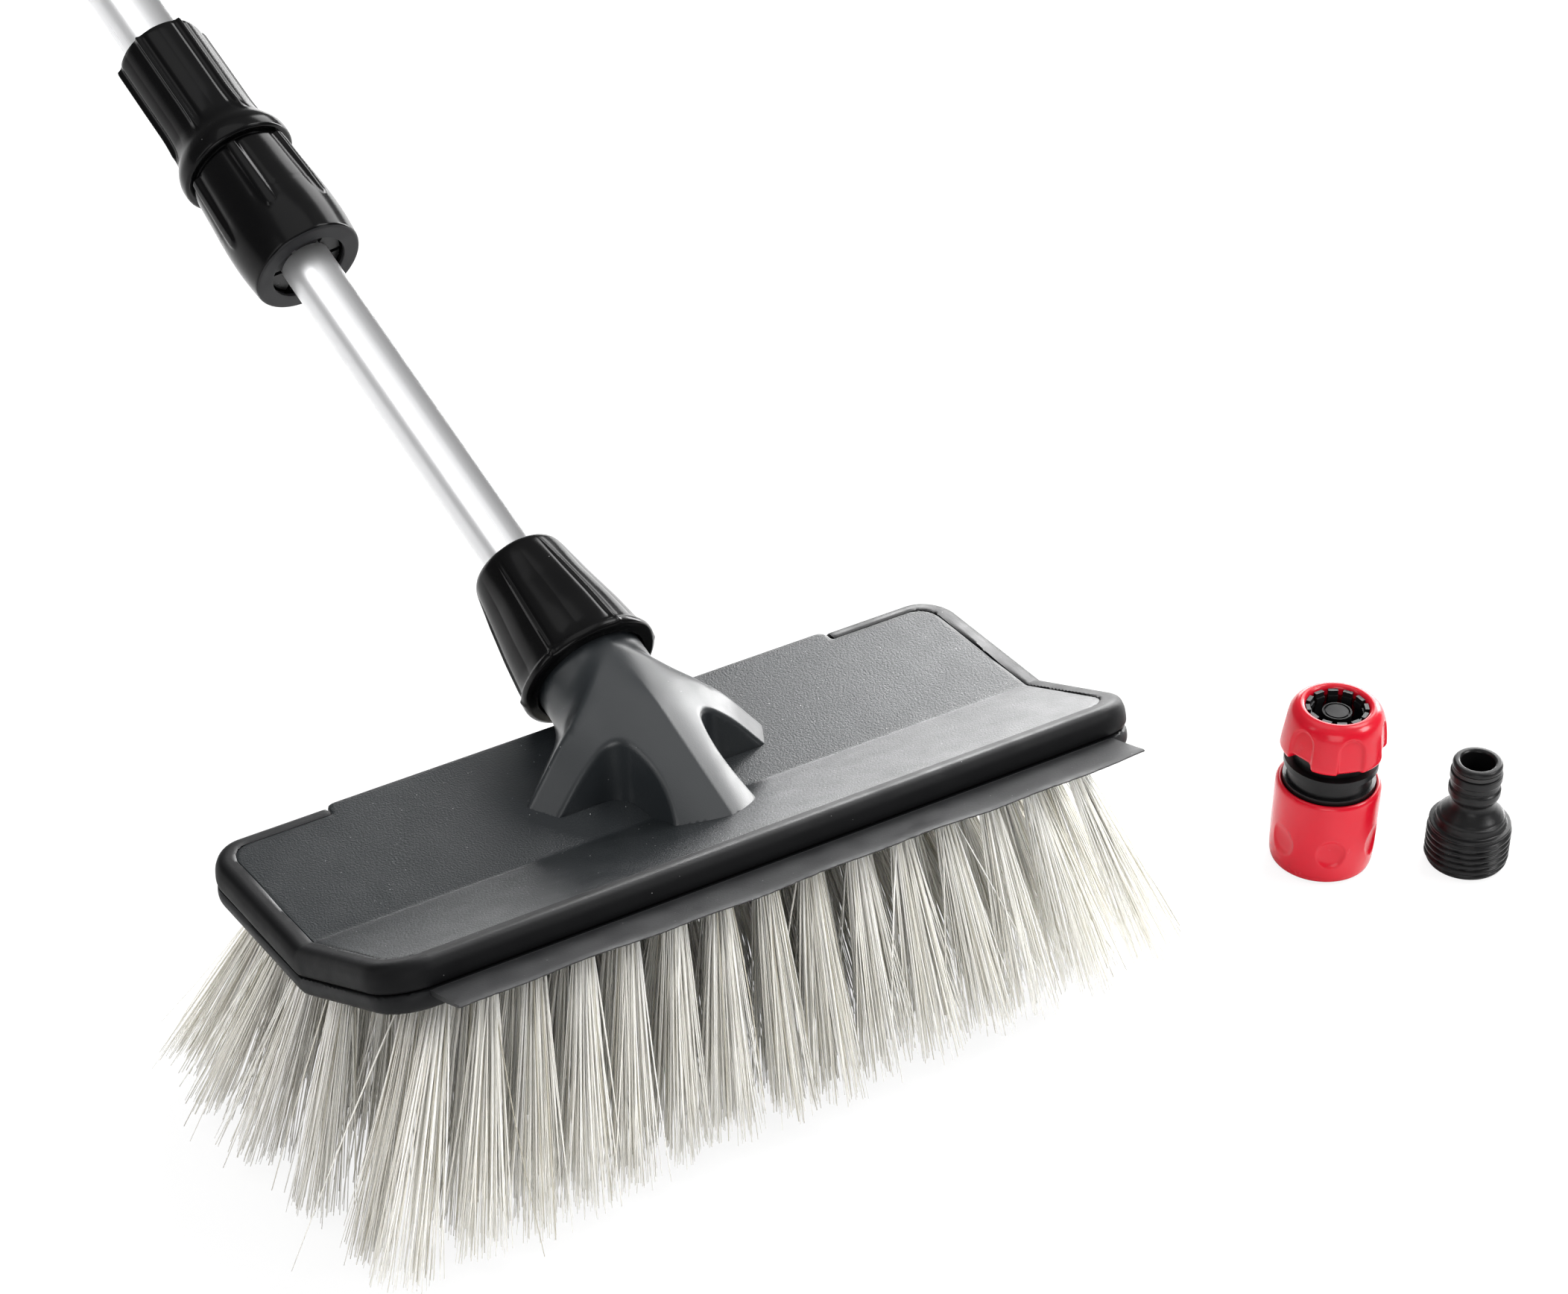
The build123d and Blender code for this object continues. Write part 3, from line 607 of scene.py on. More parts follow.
# ------------------------------------------------------------------ socket tower
def tower_field(x, y, z):
    side = np.abs(x)
    s, up, radius = pole_axis(x, y, z)
    # a faceted tent, narrowed to a flare that opens from the socket down to the plate
    front_facet = (z - (103.62 + 0.385 * y) + 0.43 * side) / 1.155
    side_facet = 0.645 * side - 0.375 * y + 0.668 * z - 76.5
    back_facet = 0.6335 * side + 0.685 * y + 0.363 * z - 65.4
    round_angle = np.degrees(np.arctan2(side, up))
    flare_gain = (3.7 + 6.4 * np.clip(round_angle / 62.0, 0, 1) ** 1.3
                  + 8.0 * np.clip((round_angle - 66) / 30, 0, 2))
    flare_depth = np.clip(46.5 - s, 0, 200) / 22.2
    flare = (radius - (17.7 + flare_gain * flare_depth ** 1.65)) * 0.8
    tent = smooth_max(smooth_max(front_facet, side_facet, 4.0), back_facet, 1.3)
    tent = smooth_max(tent, flare, 3.5)
    neck = smooth_max(radius - 17.8, s - 48.6, 0.8)
    solid = smooth_min(tent, neck, 5.0)
    # recess on each side, between the front stem and the wing
    stem_half_width = 13.0 + 0.012 * (y + 10.0) ** 2 - 0.13 * (z - 82.0)
    wing_front = 3.9 + 0.26 * (z - 81.3)
    recess = smooth_max(stem_half_width - side, y - wing_front, 6.0)
    solid = smooth_max(solid, -recess, 1.1)
    # plain spigot that runs on inside the union nut
    spigot = np.maximum(radius - 16.2, s - 62.0)
    spigot = np.maximum(spigot, 20 - s)
    solid = np.minimum(solid, spigot)
    # stand on the bent plate, sunk in by 0.6, and bore the water way
    plate = PLATE_TOP - 0.6 + np.maximum(BEND_Y - y, 0) * math.tan(BEND)
    solid = np.maximum(solid, plate - z)
    return np.maximum(solid, -(radius - 5.0))


head_step = 0.95
tower_step = 0.6
# name, field, low corner, high corner, grid step, material, CAD node, slot, sharp angle
HEAD_SHELLS = [
    ("brush_block_shell", block_field, (-132, -58, 66), (126, 48, 104), head_step,
     slate, "brush_block", "block_plastic", 28),
    ("bumper_rubber", bumper_field, (-140, -68, 64), (134, 50, 108), head_step * 0.85,
     bumper_rubber, "bumper", "black_rubber", 40),
    ("tuft_board_rim", board_field, (-140, -70, 56), (134, 50, 102), head_step * 1.1,
     board_black, "tuft_board", "black_satin", 40),
    ("socket_tower_moulding", tower_field, (-46, -40, 78), (46, 66, 122), tower_step,
     tower_slate, "socket_tower", "block_plastic", 55),
]
for name, field, low, high, step, material, node, slot, sharp in HEAD_SHELLS:
    verts, faces = surface_net(field, low, high, step)
    make(name, verts, faces, [material], "head", node, sharp)


# ------------------------------------------------------------------ squeegee blade
def squeegee_blade():
    """A rubber strip from under the bumper's front lip, wavy and thin towards its free edge."""
    tilt = math.radians(17.0)
    blade_out = np.array([0, -math.cos(tilt), math.sin(tilt)])
    blade_normal = np.array([0, math.sin(tilt), math.cos(tilt)])
    half_length = 119.5
    root_thickness, edge_loss = 1.6, 0.75
    thin_from = 6                  # the blade thins beyond this station
    edge_round = 0.25
    # stations out from the lip; those up to 0 lie along the plate's slope
    stations = [-5.0, 0.0, 3.0, 6.5, 10.0, 13.0, 14.9, 15.5]
    reach = stations[-1]
    lip = (np.array([BLOCK_X, BEND_Y, PLATE_TOP])
           + SLOPE * (FRONT_REACH + BUMPER_GROW - 0.2) - SLOPE_NORMAL * 9.5)

    columns = 180
    xs = np.linspace(-half_length, half_length, columns)
    wave = 0.35 * np.sin(xs / 17.0) + 0.22 * np.sin(xs / 6.3 + 1.0)
    ragged = 0.10 * rng.standard_normal(columns)
    rows = len(stations)
    top, bottom = [], []
    for i, x in enumerate(xs):
        for k, u in enumerate(stations):
            if u <= 0:
                centre, normal = lip + SLOPE * u, SLOPE_NORMAL
            else:
                length = u + (ragged[i] if k >= rows - 2 else 0.0)
                centre, normal = lip + blade_out * length, blade_normal
            sag = wave[i] * (max(u, 0) / reach) ** 2
            thinning = max(u - thin_from, 0) / (reach - thin_from)
            thickness = root_thickness - edge_loss * thinning
            inset = edge_round if k == rows - 1 else 0.0
            base = centre + np.array([x, 0, 0]) + blade_normal * sag
            top.append(base - normal * inset)
            bottom.append(base - normal * (thickness - inset))

    under = columns * rows         # index of the first underside vertex
    faces = []
    for i in range(columns - 1):
        for k in range(rows - 1):
            a, b = i * rows + k, i * rows + k + 1
            c, d = b + rows, a + rows
            faces.append((a, b, c, d))
            faces.append((under + d, under + c, under + b, under + a))
        a, d = i * rows, (i + 1) * rows
        faces.append((a, d, under + d, under + a))
        a, d = a + rows - 1, d + rows - 1
        faces.append((d, a, under + a, under + d))
    for k in range(rows - 1):
        faces.append((k + 1, k, under + k, under + k + 1))
        a = (columns - 1) * rows + k
        faces.append((a, a + 1, under + a + 1, under + a))
    make("squeegee_blade_rubber", np.array(top + bottom), faces, [blade_rubber], "head",
         "squeegee_blade", 30)


squeegee_blade()


# ------------------------------------------------------------------ bristles
FILAMENTS = 92     # in each tuft


def filament_mesh(name, node, roots, tips, bows, root_radius, tip_radius, tint, segments=4):
    """Closed three-sided tapered filaments from roots to tips, bowed sideways."""
    count = len(roots)
    along = tips - roots
    along = along / np.linalg.norm(along, axis=1, keepdims=True)
    helper = np.where(np.abs(along[:, :1]) > 0.8,
                      np.array([[0, 1.0, 0]]), np.array([[1.0, 0, 0]]))
    side = np.cross(along, helper)
    side /= np.linalg.norm(side, axis=1, keepdims=True)
    other_side = np.cross(along, side)
    verts = np.empty((count, segments + 1, 3, 3))
    twist = rng.uniform(0, 2 * np.pi, count)
    for i, t in enumerate(np.linspace(0, 1, segments + 1)):
        centre = roots + (tips - roots) * t + bows * (4 * t * (1 - t))
        radius = (root_radius + (tip_radius - root_radius) * t ** 1.6)[:, None]
        for j in range(3):
            angle = (twist + j * 2 * np.pi / 3)[:, None]
            verts[:, i, j] = centre + (np.cos(angle) * side + np.sin(angle) * other_side) * radius

    per_filament = (segments + 1) * 3
    first = np.arange(count)[:, None, None] * per_filament
    sides = np.array([(i * 3 + j, i * 3 + (j + 1) % 3, (i + 1) * 3 + (j + 1) % 3, (i + 1) * 3 + j)
                      for i in range(segments) for j in range(3)])
    end = segments * 3
    caps = np.array([(2, 1, 0), (end, end + 1, end + 2)])
    quads = (sides[None] + first).reshape(-1, 4)
    triangles = (caps[None] + first).reshape(-1, 3)
    points = verts.reshape(-1, 3)
    loops = np.concatenate([quads.reshape(-1), triangles.reshape(-1)])
    starts = np.concatenate([np.arange(len(quads)) * 4,
                             len(quads) * 4 + np.arange(len(triangles)) * 3])

    mesh = bpy.data.meshes.new(name)
    mesh.vertices.add(len(points))
    mesh.vertices.foreach_set("co", (points * MM).astype(np.float32).reshape(-1))
    mesh.loops.add(len(loops))
    mesh.loops.foreach_set("vertex_index", loops.astype(np.int32))
    mesh.polygons.add(len(starts))
    mesh.polygons.foreach_set("loop_start", starts.astype(np.int32))
    mesh.update(calc_edges=True)
    mesh.validate()
    mesh.shade_smooth()
    attribute = mesh.attributes.new("tint", "FLOAT", "POINT")
    attribute.data.foreach_set("value", np.repeat(tint, per_filament).astype(np.float32))
    mesh.materials.append(bristle_white)
    add_object(mesh, "head", node)


def tuft(share, root_y, root_z, root_slope, half, tip_y, tip_z, tip_half, skew, crop):
    """Filaments of the tuft at `share`, -1 to 1 along its row; the order of draws matters."""
    root_rx, root_ry = 3.1, 2.7
    spread = 9.6                   # radius of the splayed tips
    count = FILAMENTS
    end = max(0.0, abs(share) - 0.75) / 0.25      # the end tufts splay further out
    cropped = crop * 3.0 * min(1, max(0, (share + 0.6) / 0.5))
    root_x = BLOCK_X + share * half
    centre_x = BLOCK_X + share * tip_half
    centre_x += math.copysign(end * end * 11.0, share) + rng.normal(0, 1.2)
    centre_y = tip_y + skew * share + rng.normal(0, 1.6) + cropped

    angle = rng.uniform(0, 2 * np.pi, count)
    radius = np.sqrt(rng.uniform(0, 1, count))
    disc_x, disc_y = radius * np.cos(angle), radius * np.sin(angle)
    roots = np.stack([root_x + disc_x * root_rx, root_y + disc_y * root_ry,
                      root_z + disc_y * root_ry * root_slope], -1)
    spread_x = spread * rng.uniform(0.8, 1.2)
    x = centre_x + disc_x * spread_x + rng.normal(0, 1.5, count)
    y = centre_y + disc_y * (spread * 0.85) + rng.normal(0, 1.4, count)

    # filaments are all about as long as each other, so the outer ones end higher
    full = math.hypot(tip_y - root_y, root_z - tip_z) + 1.5 + 7.0 * end * end - cropped
    length = (full * (1 - 0.028 * np.abs(rng.standard_normal(count)) ** 1.4)
              + rng.normal(0, 0.7, count))
    sideways = (x - roots[:, 0]) ** 2 + (y - roots[:, 1]) ** 2
    z = roots[:, 2] - np.sqrt(np.maximum(length ** 2 - sideways, 100.0))
    stray = rng.uniform(0, 1, count) < 0.06
    x = np.where(stray, x + rng.normal(0, 7, count), x)
    y = np.where(stray, y + rng.normal(0, 4, count), y)
    z = np.maximum(z, rng.uniform(0.1, 1.0, count))      # stay above the floor

    outwards = np.stack([disc_x, disc_y, np.zeros(count)], -1)
    bows = (outwards * rng.uniform(-0.6, 0.5, count)[:, None]
            + rng.normal(0, 0.5, (count, 3)) * np.array([1, 1, 0.2]))
    tint = rng.normal(0.64, 0.26, count) - 0.45 * (rng.uniform(0, 1, count) < 0.14)
    root_radius = rng.uniform(0.27, 0.36, count)
    tip_radius = rng.uniform(0.09, 0.17, count)
    return (roots, np.stack([x, y, z], -1), bows, root_radius, tip_radius,
            np.clip(tint, 0, 1))


def slope_root(distance):
    """Root y and z at a distance forwards from the bend."""
    root = BEND_POINT + SLOPE * distance - SLOPE_NORMAL * ROOT_DEPTH
    return root[1], root[2]


flat_root_z = PLATE_TOP - ROOT_DEPTH
# CAD node, tufts, then the tuft arguments: root y, root z, root slope, half length of the row
# at the roots, tip y, tip z, half length at the tips, skew, crop
BRISTLE_ROWS = [
    ("front_bristles", 15, *slope_root(41.0), SIN_BEND, 119, -76.0, 9.0, 141, 6.0, 1.0),
    (None, 14, *slope_root(25.5), SIN_BEND, 119, -56.0, 2.5, 141, 4.0, 0.5),
    ("main_bristles", 15, -5.0, flat_root_z, 0, 119, -30.0, 1.0, 142, 0.0, 0.0),
    (None, 14, 10.0, flat_root_z, 0, 119, -2.0, 1.0, 143, 0.0, 0.0),
    (None, 15, 23.0, flat_root_z, 0, 118, 24.0, 1.0, 143, 0.0, 0.0),
    (None, 14, 36.0, flat_root_z, 0, 116, 47.0, 1.5, 142, 0.0, 0.0),
]
for number, (node, count, *settings) in enumerate(BRISTLE_ROWS, 1):
    tufts = [tuft((k + 0.5) / count * 2 - 1, *settings) for k in range(count)]
    parts = [np.concatenate(part) for part in zip(*tufts)]
    filament_mesh(f"bristle_row_{number}", node, *parts)

# ------------------------------------------------------------------ union nut
# All profiles: (radius, height along the axis, corner radius)
UNION_NUT = [
    (16.3, 50.9, 0.4), (18.0, 49.7, 0.4), (18.6, 46.3, 0.2), (21.4, 46.3, 0.5),
    (22.7, 47.2, 0.8), (22.9, 49.3, 0.6), (21.9, 50.1, 0.4), (21.4, 53.0, 4), (20.7, 58, 4),
    (20.0, 63, 4), (19.1, 68, 4), (18.2, 73, 4), (17.3, 78, 4), (16.4, 83, 4), (15.6, 87.5, 3),
    (14.9, 90.3, 2), (13.8, 91.9, 1), (12.3, 92.5, 1), (8.7, 92.5, 0.4), (8.7, 69.7, 0.2),
    (16.3, 69.7, 0.2),
]


def union_nut_radius(angle, radius, height):
    """Six facets bowed between raised seams, each seam lined by shallow valleys."""
    off = off_line(angle, first=13.0, period=60.0)
    mouth = (radius < 18.7) & (height < 51)
    outer = rise(radius, 11.5, 2.0) * (height > 46.9) * np.where(mouth, 0, 1)
    along = rise(height, 47.0, 6.0) * fall(height, 90.5, 14.0)
    facet = -0.85 * (np.abs(off) / 30.0) ** 1.5 * along
    seam = 0.42 * hill(off, 1.5) * along
    flange_seam = 0.25 * hill(off, 3.2) * rise(height, 46.8, 0.5) * (height < 50.4)
    valley = -0.22 * (hill(off - 3.1, 1.3) + hill(off + 3.1, 1.3)) * along
    return radius + outer * (facet + seam + flange_seam + valley)


lathe("union_nut_shell", UNION_NUT, 1.6, [gloss_black], "union_nut", "union_nut",
      sharp=50, segments=TURN, shape_radius=union_nut_radius)

# ------------------------------------------------------------------ twist lock
TWIST_NUT = [
    (12.7, 221.8, 0.3), (17.7, 221.8, 0.35), (18.35, 222.5, 0.4), (18.8, 227, 2), (19.1, 232, 3),
    (19.15, 238, 3), (18.8, 246, 4), (18.15, 254, 4), (17.6, 262, 3), (17.3, 265.0, 0.5),
    (16.9, 265.7, 0.3), (15.75, 265.7, 0.2), (15.75, 233.5, 0.2), (14.2, 233.5, 0.2),
    (12.7, 225.5, 0.2),
]
LOCK_COLLAR = [
    (10.02, 321, 0.2), (14.1, 321, 0.8), (14.6, 319.4, 0.6), (14.7, 300, 5), (14.7, 288, 4),
    (15.2, 281.5, 4), (16.5, 277.3, 3), (18.2, 274.3, 3), (19.2, 271.6, 2), (19.4, 269.4, 1),
    (19.2, 267.4, 0.5), (18.5, 266.7, 0.4), (16.4, 266.7, 0.1), (16.4, 266.3, 0.1),
    (15.6, 266.3, 0.1), (15.6, 240, 0.1), (13.2, 237, 0.2), (12.4, 237, 0.2), (8.66, 246, 0.2),
    (8.66, 290, 0.1), (10.02, 290, 0.1),
]


def twist_nut_radius(angle, radius, height):
    """Six round-ended ribs, a shallow hollow on each side of them, and a fine ring groove."""
    arc = np.radians(off_line(angle, first=-25.0, period=60.0)) * 18.6
    outer = rise(radius, 16.6, 0.6)
    rib_start, rib_half_width = 239.0, 1.75
    distance = np.hypot(arc, np.maximum(rib_start - height, 0) * 0.75)
    rib = soft_inside((distance - rib_half_width) * 4.0)
    rib = rib * (0.62 + 0.55 * rise(height, rib_start, 26.0))
    hollow = -0.22 * hill(np.abs(arc) - 3.2, 1.0) * rise(height, 238, 6)
    groove = -0.06 * hill(height - 244.0, 0.22)
    return radius + outer * (rib + hollow + groove)


def twist_nut_material(radius, height):
    """1, the matte face, on the nut's lower end."""
    return ((height < 222.15) | ((radius < 17.9) & (height < 223))).astype(int)


def lock_collar_radius(angle, radius, height):
    """Six broad ribs along the narrow part."""
    off = off_line(angle, first=15.0, period=60.0)
    outer = rise(radius, 13.6, 0.6) * (height > 268)
    along = rise(height, 277.0, 5.0) * np.where(height > 320.6, 0.5, 1)
    rib = 1.25 * hill(off, 3.1) * along
    side = -0.25 * hill(np.abs(off) - 8.0, 3.0) * along
    flat = -0.35 * rise(np.abs(off), 10, 20) * along
    return radius + outer * (rib + side + flat)


lathe("twist_nut_shell", TWIST_NUT, 1.0, [gloss_black, matte_black], "twist_nut", "twist_nut",
      sharp=50, segments=TURN, shape_radius=twist_nut_radius,
      face_material=twist_nut_material)
lathe("lock_collar_shell", LOCK_COLLAR, 1.2, [gloss_black], "outer_pole", "lock_collar",
      sharp=50, segments=TURN, shape_radius=lock_collar_radius)

# ------------------------------------------------------------------ tubes
# CAD node, moving body, inner radius, outer radius, start, end
for node, body, bore, radius, start, end in (
        ("inner_tube", "inner_pole", 7.05, 8.25, 67.0, 642.0),
        ("outer_tube", "outer_pole", 8.7, 10.0, 290.0, 890.0)):
    profile = [(bore, start, 0.2), (radius, start, 0.3), (radius, end, 0.3), (bore, end, 0.2)]
    lathe(node + "_skin", profile, 30.0, [tube_metal], body, node,
          sharp=40, segments=128)

# ------------------------------------------------------------------ hand grip
grip_profile = [(10.02, 753, 0.2), (12.6, 753, 1), (14.0, 754.2, 1), (14.5, 757, 2)]
for start in np.arange(764.0, 862, 8.4):      # ring grooves
    grip_profile += [(14.2, start, 0.5), (13.3, start + 1.4, 0.6),
                     (13.3, start + 2.6, 0.6), (14.35, start + 4.0, 0.5)]
grip_profile += [(14.4, 870, 2), (14.8, 877, 2), (15.5, 881, 1), (15.6, 883.5, 0.8),
                 (15.0, 885, 0.6), (10.02, 885, 0.2)]


def grip_radius(angle, radius, height):
    """Four shallow hollows along the grip."""
    off = off_line(angle, first=0.0, period=90.0)
    along = rise(height, 758, 5) * fall(height, 872, 6)
    return radius + rise(radius, 12.6, 1.0) * (-0.4 * hill(off, 9.0) * along)


lathe("hand_grip_rubber", grip_profile, 2.5, [grip_foam], "outer_pole", "hand_grip",
      sharp=40, segments=200, shape_radius=grip_radius)

# ------------------------------------------------------------------ hose inlet
inlet_profile = [
    (6.0, 864, 0.3), (8.69, 864, 0.5), (8.69, 890, 0.1), (12.3, 890, 0.4), (12.5, 893, 1),
    (13.6, 895.2, 1), (16.2, 896.3, 0.8), (17.0, 898.5, 0.8), (17.0, 916.6, 0.6),
    (16.5, 918.6, 0.6), (15.6, 919, 0.4), (13.6, 919, 0.3), (12.4, 917.6, 0.2),
]
for crest in np.arange(916.0, 908.5, -THREAD_PITCH):      # rings in place of the inner thread
    inlet_profile += [(12.3, crest, 0.1), (13.2, crest - 0.9, 0.1), (12.3, crest - 1.8, 0.1)]
inlet_profile += [(12.3, 906.6, 0.1), (13.3, 906.5, 0.1), (13.3, 903.5, 0.2), (6.0, 903.5, 0.2)]


def inlet_radius(angle, radius, height):
    """Twelve flutes round the collar."""
    off = off_line(angle, first=0.0, period=30.0)
    outer = rise(radius, 16.0, 0.8) * rise(height, 896.5, 2) * fall(height, 917.8, 1.5)
    return radius - outer * 0.85 * hill(off, 4.2)


lathe("hose_inlet_moulding", inlet_profile, 1.6, [satin_black], "outer_pole", "hose_inlet",
      sharp=40, segments=360, shape_radius=inlet_radius)

# ------------------------------------------------------------------ hose connector
HOSE_NUT = [
    (15.15, 0.0, 0.4), (15.9, 0.5, 0.6), (16.35, 2.0, 1.2), (16.6, 5.0, 2), (16.7, 12, 3),
    (16.8, 20, 3), (16.9, 26.5, 2), (16.8, 28.6, 0.5), (16.2, 29.55, 0.5), (15.6, 29.7, 0.4),
    (15.05, 29.3, 0.3), (14.9, 28.4, 0.3), (14.9, 4.4, 0.3), (9.2, 3.0, 0.3), (9.2, 0.0, 0.3),
]
RELEASE_SLEEVE = [
    (12.62, 41.9, 0.15), (16.2, 41.9, 0.3), (16.95, 43.0, 0.6), (17.0, 44.0, 1), (16.75, 47, 2),
    (16.2, 51, 2), (15.5, 54, 2), (14.5, 56.2, 1.2), (13.0, 57.7, 1.0), (11.6, 58.2, 0.6),
    (10.6, 57.9, 0.5), (10.1, 57.0, 0.4), (10.1, 54.8, 0.2), (11.2, 53.6, 0.2),
    (12.62, 50.6, 0.2),
]


def hose_nut_radius(angle, radius, height):
    """Six round dishes, each with a faint raised lip."""
    arc = np.radians(off_line(angle, first=29.6, period=60.0)) * 16.7
    distance = np.hypot(arc, (height - 11.6) * 0.95)
    outer = rise(radius, 15.6, 0.5)
    dish = 1.35 * np.clip(1 - (distance / 4.8) ** 2, 0, 1) ** 0.6
    lip = 0.08 * hill(distance - 5.3, 0.5)
    return radius + outer * (lip - dish)


def sleeve_radius(angle, radius, height):
    """Six round-topped hollows, open at the bottom."""
    half_width = 4.35
    arc = np.radians(off_line(angle, first=-19.4, period=60.0)) * 16.4
    outer = rise(radius, 14.0, 1.0)
    distance = np.hypot(arc / half_width, np.maximum(height - 50.3, 0) / 4.2)
    mask = soft_inside((distance - 0.97) * 26)
    depth = 1.15 + 0.25 * fall(height, 50, 8.0)
    rounding = 1 - 0.25 * np.clip(arc / half_width, -1, 1) ** 2
    return radius - outer * mask * depth * rounding


def sleeve_height(angle, radius, height):
    """Three notches in the lower rim."""
    off = off_line(angle, first=-81.4, period=120.0)
    low = fall(height, 46.5, 4.6) * rise(radius, 12.62, 0.5)
    return height + low * 2.2 * soft_inside((np.abs(off) - 15.0) * 0.9)


on_connector = standing_at(CONNECTOR_XY)
lathe("hose_nut_shell", HOSE_NUT, 0.7, [gloss_red], "hose_nut", "hose_nut",
      sharp=55, segments=RED_TURN, place=on_connector, shape_radius=hose_nut_radius)
lathe("release_sleeve_shell", RELEASE_SLEEVE, 0.6, [gloss_red], "release_sleeve",
      "release_sleeve", sharp=55, segments=RED_TURN, place=on_connector,
      shape_radius=sleeve_radius, shape_height=sleeve_height)

# ------------------------------------------------------------------ threaded adaptor
ADAPTOR = [
    (10.4, 0.02, 0.1), (12.3, 0, 0.3), (12.6, 0.6, 0.3), (12.6, 14.2, 0.2), (13.15, 14.35, 0.3),
    (13.1, 14.9, 0.3), (11.6, 15.1, 0.5), (11.3, 15.6, 0.5), (11.1, 17.5, 0.5),
    (10.2, 17.85, 0.5), (9.7, 18.6, 1), (8.5, 19.9, 2), (7.3, 21.5, 2), (6.9, 22.7, 1),
    (6.95, 23.8, 1), (7.9, 25.0, 0.8), (8.4, 26.1, 0.6), (8.4, 28.3, 0.3), (7.75, 28.8, 0.2),
    (7.7, 29.3, 0.2), (7.95, 29.6, 0.2), (7.95, 31.2, 0.2), (8.4, 31.6, 0.3), (8.4, 34.1, 0.2),
    (7.0, 34.4, 0.1), (7.0, 36.0, 0.1), (8.0, 36.2, 0.2), (8.05, 37.2, 0.4), (7.5, 37.9, 0.4),
    (6.1, 38.0, 0.3), (5.4, 37.4, 0.4), (5.4, 9.0, 0.2), (10.4, 9.0, 0.2),
]


def adaptor_radius(angle, radius, height):
    """A helical thread on the lower barrel."""
    phase = (height / THREAD_PITCH - angle / (2 * np.pi)) % 1.0
    ridge = rise(1 - np.abs(phase - 0.5) * 2, 0.18, 0.5)
    ends = rise(height, 0.5, 1.6) * fall(height, 14.1, 1.4)
    outer = rise(radius, 12.0, 0.4) * (height < 14.15)
    return radius + outer * ends * (0.9 * ridge)


lathe("threaded_adaptor_moulding", ADAPTOR, 0.22, [satin_black], "adaptor",
      "threaded_adaptor", sharp=50, segments=180,
      place=standing_at(ADAPTOR_XY), shape_radius=adaptor_radius)


# ------------------------------------------------------------------ plunger spring
def plunger_spring():
    """Open coil of the plunger spring, five turns of wire."""
    coil_radius, wire_radius = 4.55, 0.45
    bottom, top = 35.1, 46.4
    turns, sides = 5, 10
    steps = turns * 40
    share = np.linspace(0, 1, steps + 1)
    angle = share * turns * 2 * np.pi
    cos, sin = np.cos(angle), np.sin(angle)
    centre = np.stack([coil_radius * cos, coil_radius * sin, bottom + (top - bottom) * share], -1)
    climb = (top - bottom) / (turns * 2 * np.pi * coil_radius)
    along = np.stack([-sin, cos, np.full_like(angle, climb)], -1)
    along /= np.linalg.norm(along, axis=1)[:, None]
    outwards = np.stack([cos, sin, np.zeros_like(angle)], -1)
    upwards = np.cross(along, outwards)
    turn = np.linspace(0, 2 * np.pi, sides, endpoint=False)[None, :, None]
    section = np.cos(turn) * outwards[:, None, :] + np.sin(turn) * upwards[:, None, :]
    verts = (centre[:, None, :] + wire_radius * section).reshape(-1, 3)
    faces = [[i * sides + j, (i + 1) * sides + j,
              (i + 1) * sides + (j + 1) % sides, i * sides + (j + 1) % sides]
             for i in range(steps) for j in range(sides)]
    faces.append(list(range(sides)))
    faces.append([steps * sides + j for j in reversed(range(sides))])
    spring = make("plunger_spring_wire", on_connector(verts), faces, [wire_metal],
                  "connector", "plunger_spring", 50)
    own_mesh(spring)


plunger_spring()

# ------------------------------------------------------------------ CAD nodes that stay
KEPT_NODES = {
    "board_gasket": seal_rubber, "union_washer": seal_rubber, "tube_ferrule": satin_black,
    "thrust_ring": acetal, "guide_bush": acetal, "guide_seals": seal_rubber,
    "lock_collet": satin_black, "inlet_seal": seal_rubber, "inlet_washer": seal_rubber,
    # the connector seal and the stop plunger get the black with painted shade
    "hose_collet": acetal, "connector_core": satin_black, "connector_seal": shade_painted_black,
    "connector_claws": claw_black, "stop_plunger": shade_painted_black, "adaptor_washer": seal_rubber,
    "nipple_ring": seal_rubber,
}
for node, material in KEPT_NODES.items():
    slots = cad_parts[node].data.materials
    slots.clear()
    slots.append(material)


